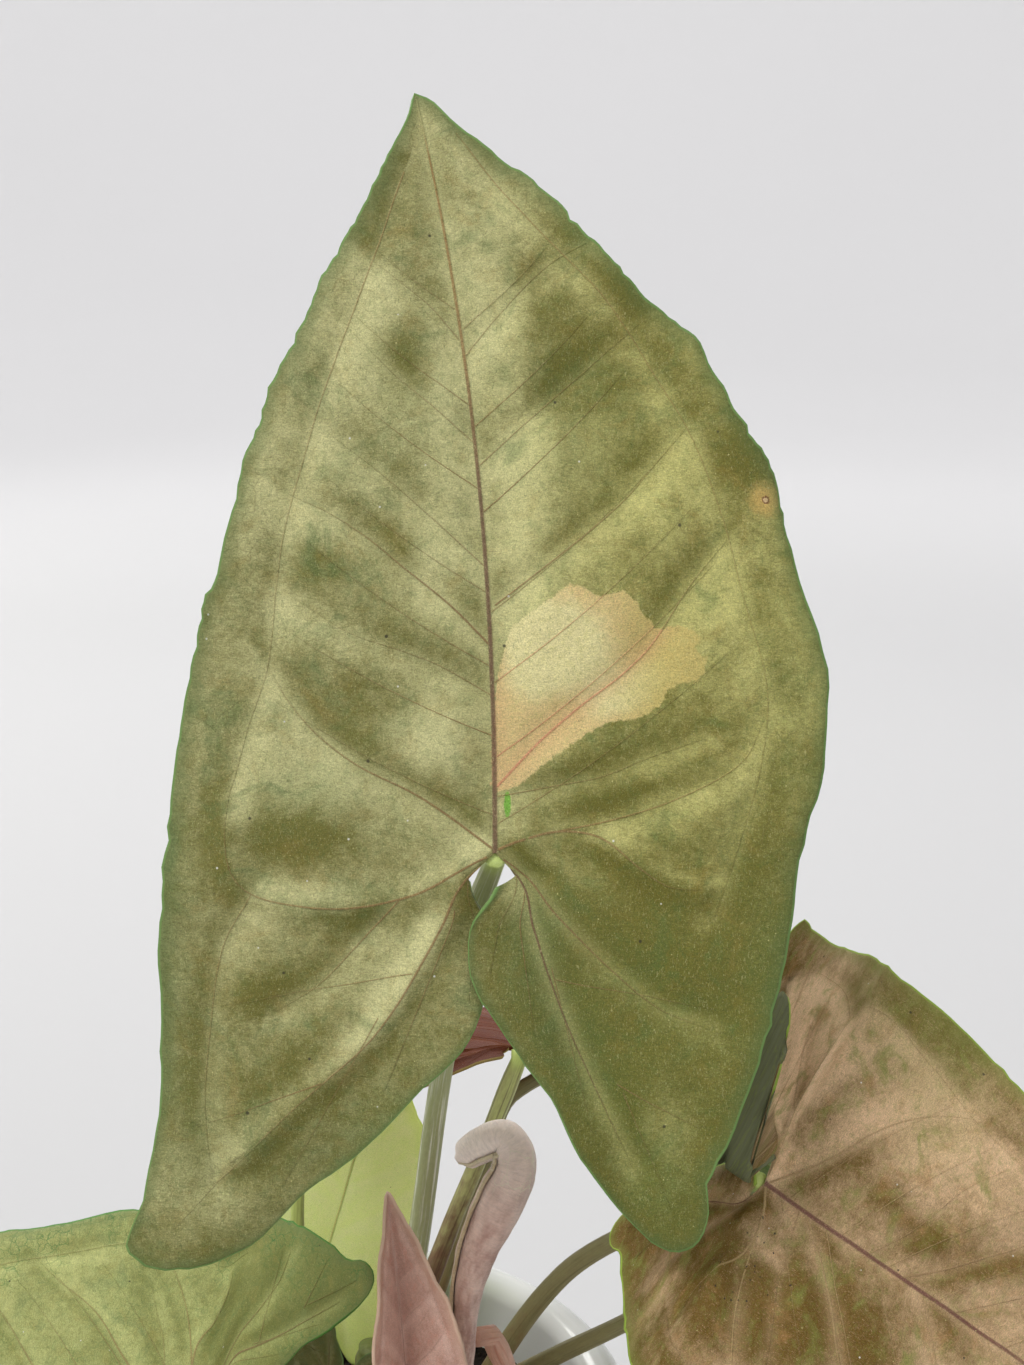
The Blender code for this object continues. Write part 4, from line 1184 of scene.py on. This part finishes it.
def build_stem(name, x, y, lean_x, lean_y):
    places, sizes = [], []
    for i in range(STEM_STEPS + 1):
        share = i / STEM_STEPS
        lean = max(share - 0.5, 0) * 2
        ring = STEM_RING * math.exp(-((((share * 12) % 3 - 2) / 0.35) ** 2))
        taper = 1 - STEM_TAPER * float(smooth(0.75, 1, share))
        places.append((x + lean_x * lean, y + lean_y * lean, STEM_FOOT + (STEM_TOP - STEM_FOOT) * share))
        sizes.append(STEM_RADIUS * taper + ring)
    points, faces, fields = sweep(places, sizes, 28, 0.3)
    obj = link(name + "_stalk", make_mesh(name, points, faces, fields))
    obj.data.materials.append(stalk_material(name, "stem"))
    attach(obj, "root")
    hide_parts(name)


# The rolled leaf


def roll_frames(count):
    """Places along the roll's axis, each with its radius and two directions across the axis."""
    course = knotted(ROLL_ROUTE)
    places = [through(course, course[-1][0] * i / count) for i in range(count + 1)]
    across = Vector((1, 0, 0))
    frames = []
    for i, place in enumerate(places):
        before, after = places[max(i - 1, 0)], places[min(i + 1, count)]
        tangent = (Vector(after[:3]) - Vector(before[:3])).normalized()
        across = (across - tangent * across.dot(tangent)).normalized()
        frames.append((Vector(place[:3]), place[3], across.copy(), tangent.cross(across)))
    return frames


def build_roll():
    """The rolled blade: a sheet wound a little more than once round a bent axis, with creases."""
    count, turns = ROLL_GRID
    frames = roll_frames(count)
    points, edge, along, round_it = [], [], [], []
    for i, (centre, radius, right, up) in enumerate(frames):
        share = i / count
        closing = 1 - 0.7 * float(smooth(0.96, 1.0, share)) ** 2
        crease = 0.35 * math.exp(-(((share - 0.72) / 0.05) ** 2))
        for j in range(turns + 1):
            wound = j / turns
            turn = math.radians(ROLL_START) + 2 * math.pi * ROLL_TURNS * wound
            reach = (radius - ROLL_GAIN * (1 - wound)) * closing
            spot = Vector((math.cos(turn) * 2, math.sin(turn) * 2, share * 22))
            reach += 0.16 * noise.noise(spot) - crease * abs(noise.noise(spot * 2.3))
            points.append((centre + (right * math.cos(turn) + up * math.sin(turn)) * reach) * MM)
            edge.append((1 - wound) * 2 * math.pi * radius * ROLL_TURNS)
            along.append(share)
            round_it.append((math.cos(turn) * 4, math.sin(turn) * 4, share * 48))
    faces = grid_faces(count + 1, turns + 1, 0, False)
    mesh = make_mesh("rolled_leaf", points, faces, {"edge": edge, "along": along, "round": round_it})
    obj = link("rolled_leaf", mesh)
    solid = obj.modifiers.new("thickness", "SOLIDIFY")
    solid.thickness = THICKNESS * MM
    solid.offset = -1
    mesh.materials.append(roll_material())
    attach(obj, "root")
    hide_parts("rolled_blade")


def roll_material():
    """Soft pink-brown tissue with cross fibres, pale creases at the bend and a yellow-green free edge."""
    n = Nodes("rolled_pink")
    along = n.field("along")
    round_it = n.field("round", "Vector")
    fibres = n.noise(n.moved(round_it, (0.5, 0.5, 3.0)), 1.0, 5, 0.7, 0.4)
    mottle = n.noise(n.moved(round_it, (0.25, 0.25, 0.2)), 1.0, 4, 0.6)
    colour = n.mix(n.step(mottle, 0.3, 0.7), (0.38, 0.20, 0.15), (0.68, 0.48, 0.39))
    colour = n.mix(n.times(n.step(along, 0.5, 0.95), 0.85), colour, (0.97, 0.83, 0.73))
    edge = n.math("MULTIPLY_ADD", mottle, -0.5, n.field("edge"))
    colour = n.mix(n.times(n.step(edge, 0.7, 0.0), 0.6), colour, (0.52, 0.44, 0.20))
    bend = n.times(n.step(along, 0.62, 0.7), n.step(along, 0.84, 0.76))
    crack = n.step(n.cells(n.warped(round_it, 1.6, 0.5), 0.3), 0.035, 0.0)
    colour = n.mix(n.times(n.times(crack, bend), 0.8), colour, (0.72, 0.64, 0.48))
    colour = n.grained(colour, fibres, 0.7)
    return n.finish(
        colour, 0.55, fibres, 0.0003, 0.6,
        subsurface_weight=0.12, subsurface_radius=(1.2, 0.8, 0.5), subsurface_scale=0.001,
        sheen_weight=0.25, sheen_roughness=0.5,
    )


# Pot and soil


def pot_profile():
    rim_x, rim_z = POT_RIM_RADIUS - POT_RIM_TUBE, POT_HEIGHT - POT_RIM_TUBE
    inner_floor = INNER_FLOOR_RADIUS
    profile = [(0, POT_FLOOR), (inner_floor - 4, POT_FLOOR), (inner_floor - 1.2, POT_FLOOR + 0.8)]
    profile.append((inner_floor, POT_FLOOR + 3))
    steps = 24
    for i in range(steps + 1):
        turn = math.pi * (1 - i / steps)
        profile.append((rim_x + POT_RIM_TUBE * math.cos(turn), rim_z + POT_RIM_TUBE * math.sin(turn)))
    under = (
        (0, 0, 0), (1.5, -0.15, -2.2), (3, -1.3, -4.2), (4.5, -3.4, -5.9), (6.5, -4.9, -8.2),
        (8.5, -5.5, -10.5),
    )
    for i in range(1, 13):
        x, z = through(under, 8.5 * i / 12)
        profile.append((POT_RIM_RADIUS + x, rim_z + z))
    profile += [(POT_FOOT_RADIUS + 1.6, 3), (POT_FOOT_RADIUS + 1.2, 1.4), (POT_FOOT_RADIUS + 0.4, 0.4)]
    profile += [(POT_FOOT_RADIUS - 0.6, 0), (0, 0)]
    return profile


def lathe(name, profile, steps):
    """A piece made by turning a profile, in metres, round the Z axis, and its modifier."""
    mesh = bpy.data.meshes.new(name)
    outline = bmesh.new()
    corners = [outline.verts.new((x, 0, z)) for x, z in profile]
    for a, b in zip(corners, corners[1:]):
        outline.edges.new((a, b))
    outline.to_mesh(mesh)
    outline.free()
    obj = link(name, mesh)
    turned = obj.modifiers.new("turned", "SCREW")
    turned.steps = turned.render_steps = steps
    turned.use_smooth_shade = True
    return obj, turned


def build_pot():
    pot, turned = lathe("white_pot", [(x * MM, z * MM) for x, z in pot_profile()], POT_STEPS)
    turned.use_merge_vertices = True
    turned.merge_threshold = 0.00005
    pot.data.materials.append(glaze_material())
    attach(pot, "root")
    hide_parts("pot")


def glaze_material():
    """White glaze with a faint unevenness, tiny pores and a thin bare ring at the foot."""
    n = Nodes("white_glaze")
    place = n.place()
    cloud = n.noise(place, 22, 4, 0.6)
    ripple = n.noise(n.moved(place, (1, 1, 3)), 60, 3, 0.5)
    colour = n.mix(n.step(cloud, 0.3, 0.75), (0.87, 0.87, 0.85), (0.92, 0.92, 0.91))
    pores = n.step(n.cells(place, 260, "F1"), 0.09, 0.04)
    colour = n.mix(n.times(pores, 0.35), colour, (0.45, 0.42, 0.38))
    level = n.node("SeparateXYZ", {0: place}, "Z")
    foot = n.step(n.math("MULTIPLY_ADD", cloud, 0.001, level), 0.0019, 0.0012)
    colour = n.mix(foot, colour, (0.62, 0.56, 0.47))
    rough = n.math("MULTIPLY_ADD", foot, 0.5, n.math("MULTIPLY_ADD", cloud, 0.14, 0.14))
    height = n.math("SUBTRACT", ripple, n.times(pores, 0.5))
    return n.finish(colour, rough, height, 0.0003, 0.25, coat_weight=0.4)


def ground_height(x, y):
    """The soil surface's height at a point, in mm."""
    rough = noise.fractal(Vector((x * 0.07, y * 0.07, 1.0)), 0.8, 2.0, 5) * 0.9
    lumps = noise.noise(Vector((x * 0.5, y * 0.5, 4.0))) * 0.35
    return SOIL_TOP + rough + lumps


def build_soil():
    inner_floor = INNER_FLOOR_RADIUS
    neck = POT_RIM_RADIUS - 2 * POT_RIM_TUBE
    rise = (SOIL_TOP - POT_FLOOR - 3) / (POT_HEIGHT - POT_RIM_TUBE - POT_FLOOR - 3)
    edge = inner_floor + (neck - inner_floor) * rise - 0.15
    rings, sides = 64, 180
    points = []
    for i in range(1, rings + 1):
        for j in range(sides):
            turn = 2 * math.pi * j / sides
            reach = edge * (i / rings) ** 0.8
            x, y = reach * math.cos(turn), reach * math.sin(turn)
            points.append((x, y, ground_height(x, y)))
    for radius, z in ((inner_floor - 0.3, POT_FLOOR + 3), (inner_floor - 4, POT_FLOOR + 0.3)):
        for j in range(sides):
            turn = 2 * math.pi * j / sides
            points.append((radius * math.cos(turn), radius * math.sin(turn), z))
    faces = []
    for i in range(rings + 1):
        for j in range(sides):
            k = (j + 1) % sides
            faces.append((i * sides + j, (i + 1) * sides + j, (i + 1) * sides + k, i * sides + k))
    top, bottom = len(points), len(points) + 1
    points += [(0, 0, ground_height(0, 0)), (0, 0, POT_FLOOR + 0.3)]
    last = (rings + 1) * sides
    for j in range(sides):
        k = (j + 1) % sides
        faces.append((j, k, top))
        faces.append((last + k, last + j, bottom))
    obj = link("soil_bed", make_mesh("soil_bed", np.array(points) * MM, faces, {}))
    finish = soil_material()
    obj.data.materials.append(finish)
    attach(obj, "root")
    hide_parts("soil")
    build_crumbs(edge, finish)


def build_crumbs(edge, finish):
    """Crumbs and small bark pieces, strewn over the soil."""
    draw = random.Random(11)
    joined = bmesh.new()
    for i in range(CRUMBS):
        reach, turn = (edge - 1.5) * math.sqrt(draw.random()), draw.uniform(0, 2 * math.pi)
        x, y = reach * math.cos(turn), reach * math.sin(turn)
        size = draw.uniform(0.35, 1.0) if i % 9 else draw.uniform(1.0, 1.8)
        long = draw.uniform(1.2, 2.4) if i % 5 == 0 else draw.uniform(0.8, 1.3)
        made = bmesh.ops.create_icosphere(joined, subdivisions=1, radius=size)["verts"]
        shift = Vector((draw.random() * 50, draw.random() * 50, 0))
        for vertex in made:
            vertex.co *= 1 + 0.45 * noise.noise(vertex.co * 0.9 + shift)
            vertex.co.x *= long
            vertex.co.z *= 0.7
        turned = Matrix.Rotation(draw.uniform(0, 6.3), 3, "Z")
        tilted = Matrix.Rotation(draw.uniform(-0.5, 0.5), 3, "X")
        spin = turned @ tilted
        centre = Vector((x, y, ground_height(x, y) + size * 0.2))
        for vertex in made:
            vertex.co = (spin @ vertex.co + centre) * MM
    mesh = bpy.data.meshes.new("soil_crumbs")
    joined.to_mesh(mesh)
    joined.free()
    mesh.shade_smooth()
    obj = link("soil_crumbs", mesh)
    mesh.materials.append(finish)
    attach(obj, "root")


def soil_material():
    n = Nodes("dark_soil")
    place = n.place()
    clods = n.noise(place, 420, 5, 0.7)
    bits = n.cells(place, 700, "F1", "Color")
    colour = n.mix(n.step(clods, 0.3, 0.75), (0.009, 0.006, 0.0045), (0.045, 0.03, 0.021))
    colour = n.mix(n.times(n.step(bits, 0.82, 0.95), 0.6), colour, (0.10, 0.065, 0.04))
    return n.finish(colour, 0.92, clods, 0.0008, 0.9, specular_ior_level=0.25)


# Stage


def build_stage():
    """A pale floor that curves up all round, so that every view has a plain background."""
    profile = [(0, 0), (1.2, 0), (FLOOR_FLAT, 0)]
    for turn in np.linspace(0.15, math.pi / 2, 10):
        profile.append((FLOOR_FLAT + FLOOR_BEND * math.sin(turn), FLOOR_BEND * (1 - math.cos(turn))))
    profile.append((FLOOR_FLAT + FLOOR_BEND, WALL_TOP))
    floor, _ = lathe("floor", profile, FLOOR_STEPS)
    n = Nodes("floor_paper")
    level = n.moved(n.place(), (1, 1, 0))
    reach = n.node("VectorMath", {0: level}, "Value", operation="LENGTH")
    # Painted shade: the floor is darker out to 1 m from the middle and lightens towards the bend, evening out
    # the lamps' light on floor and wall
    colour = n.mix(n.step(reach, 1.0, 2.05), (0.54, 0.537, 0.54), (0.79, 0.785, 0.79))
    colour = n.grained(colour, n.noise(n.place(), 1.5, 2, 0.5), 0.03)
    floor.data.materials.append(n.finish(colour, 0.9))


def area_light(name, place, target, size, energy, colour):
    light = bpy.data.lights.new(name, "AREA")
    light.shape = "DISK"
    light.size = size
    light.energy = energy
    light.color = colour
    obj = link(name, light)
    obj.location = place
    obj.rotation_euler = (Vector(target) - Vector(place)).to_track_quat("-Z", "Y").to_euler()


def build_lights():
    for light in LIGHTS:
        area_light(*light)
    world = bpy.data.worlds.new("soft_room")
    world.use_nodes = True
    background = world.node_tree.nodes["Background"]
    background.inputs["Color"].default_value = (0.98, 0.985, 1.0, 1)
    background.inputs["Strength"].default_value = WORLD_STRENGTH
    bpy.context.scene.world = world
    bpy.context.scene.view_settings.view_transform = "Standard"


def build_camera():
    data = bpy.data.cameras.new("camera")
    data.lens = CAMERA_LENS
    data.sensor_width = SENSOR
    data.clip_start = 0.01
    camera = link("camera", data)
    camera.location = CAMERA_PLACE
    camera.rotation_euler = (math.radians(90 - CAMERA_PITCH), 0, 0)
    bpy.context.scene.camera = camera


def main():
    build_camera()
    build_stage()
    build_lights()
    build_pot()
    build_soil()
    for name, (x, y, lean_x, lean_y) in STEMS.items():
        build_stem(name, x, y, lean_x, lean_y)
    for name, leaf in LEAVES.items():
        build_blade(name, leaf)
        place = placement(leaf)
        into = tuple(Vector(leaf.at) - place.col[1].to_3d() * 0.8 - place.col[2].to_3d() * 0.3)
        build_petiole(
            name + "_stalk", name + "_petiole", leaf.route, petiole_end(leaf), leaf.stalk, leaf.stalk_look,
            into=into,
        )
    build_roll()
    build_petiole(
        "rolled_stalk", "rolled_petiole", ROLL_STALK[:-2], ROLL_STALK[-2:], ROLL_STALK_RADII,
        "peach_petiole", ridges=1,
    )


main()
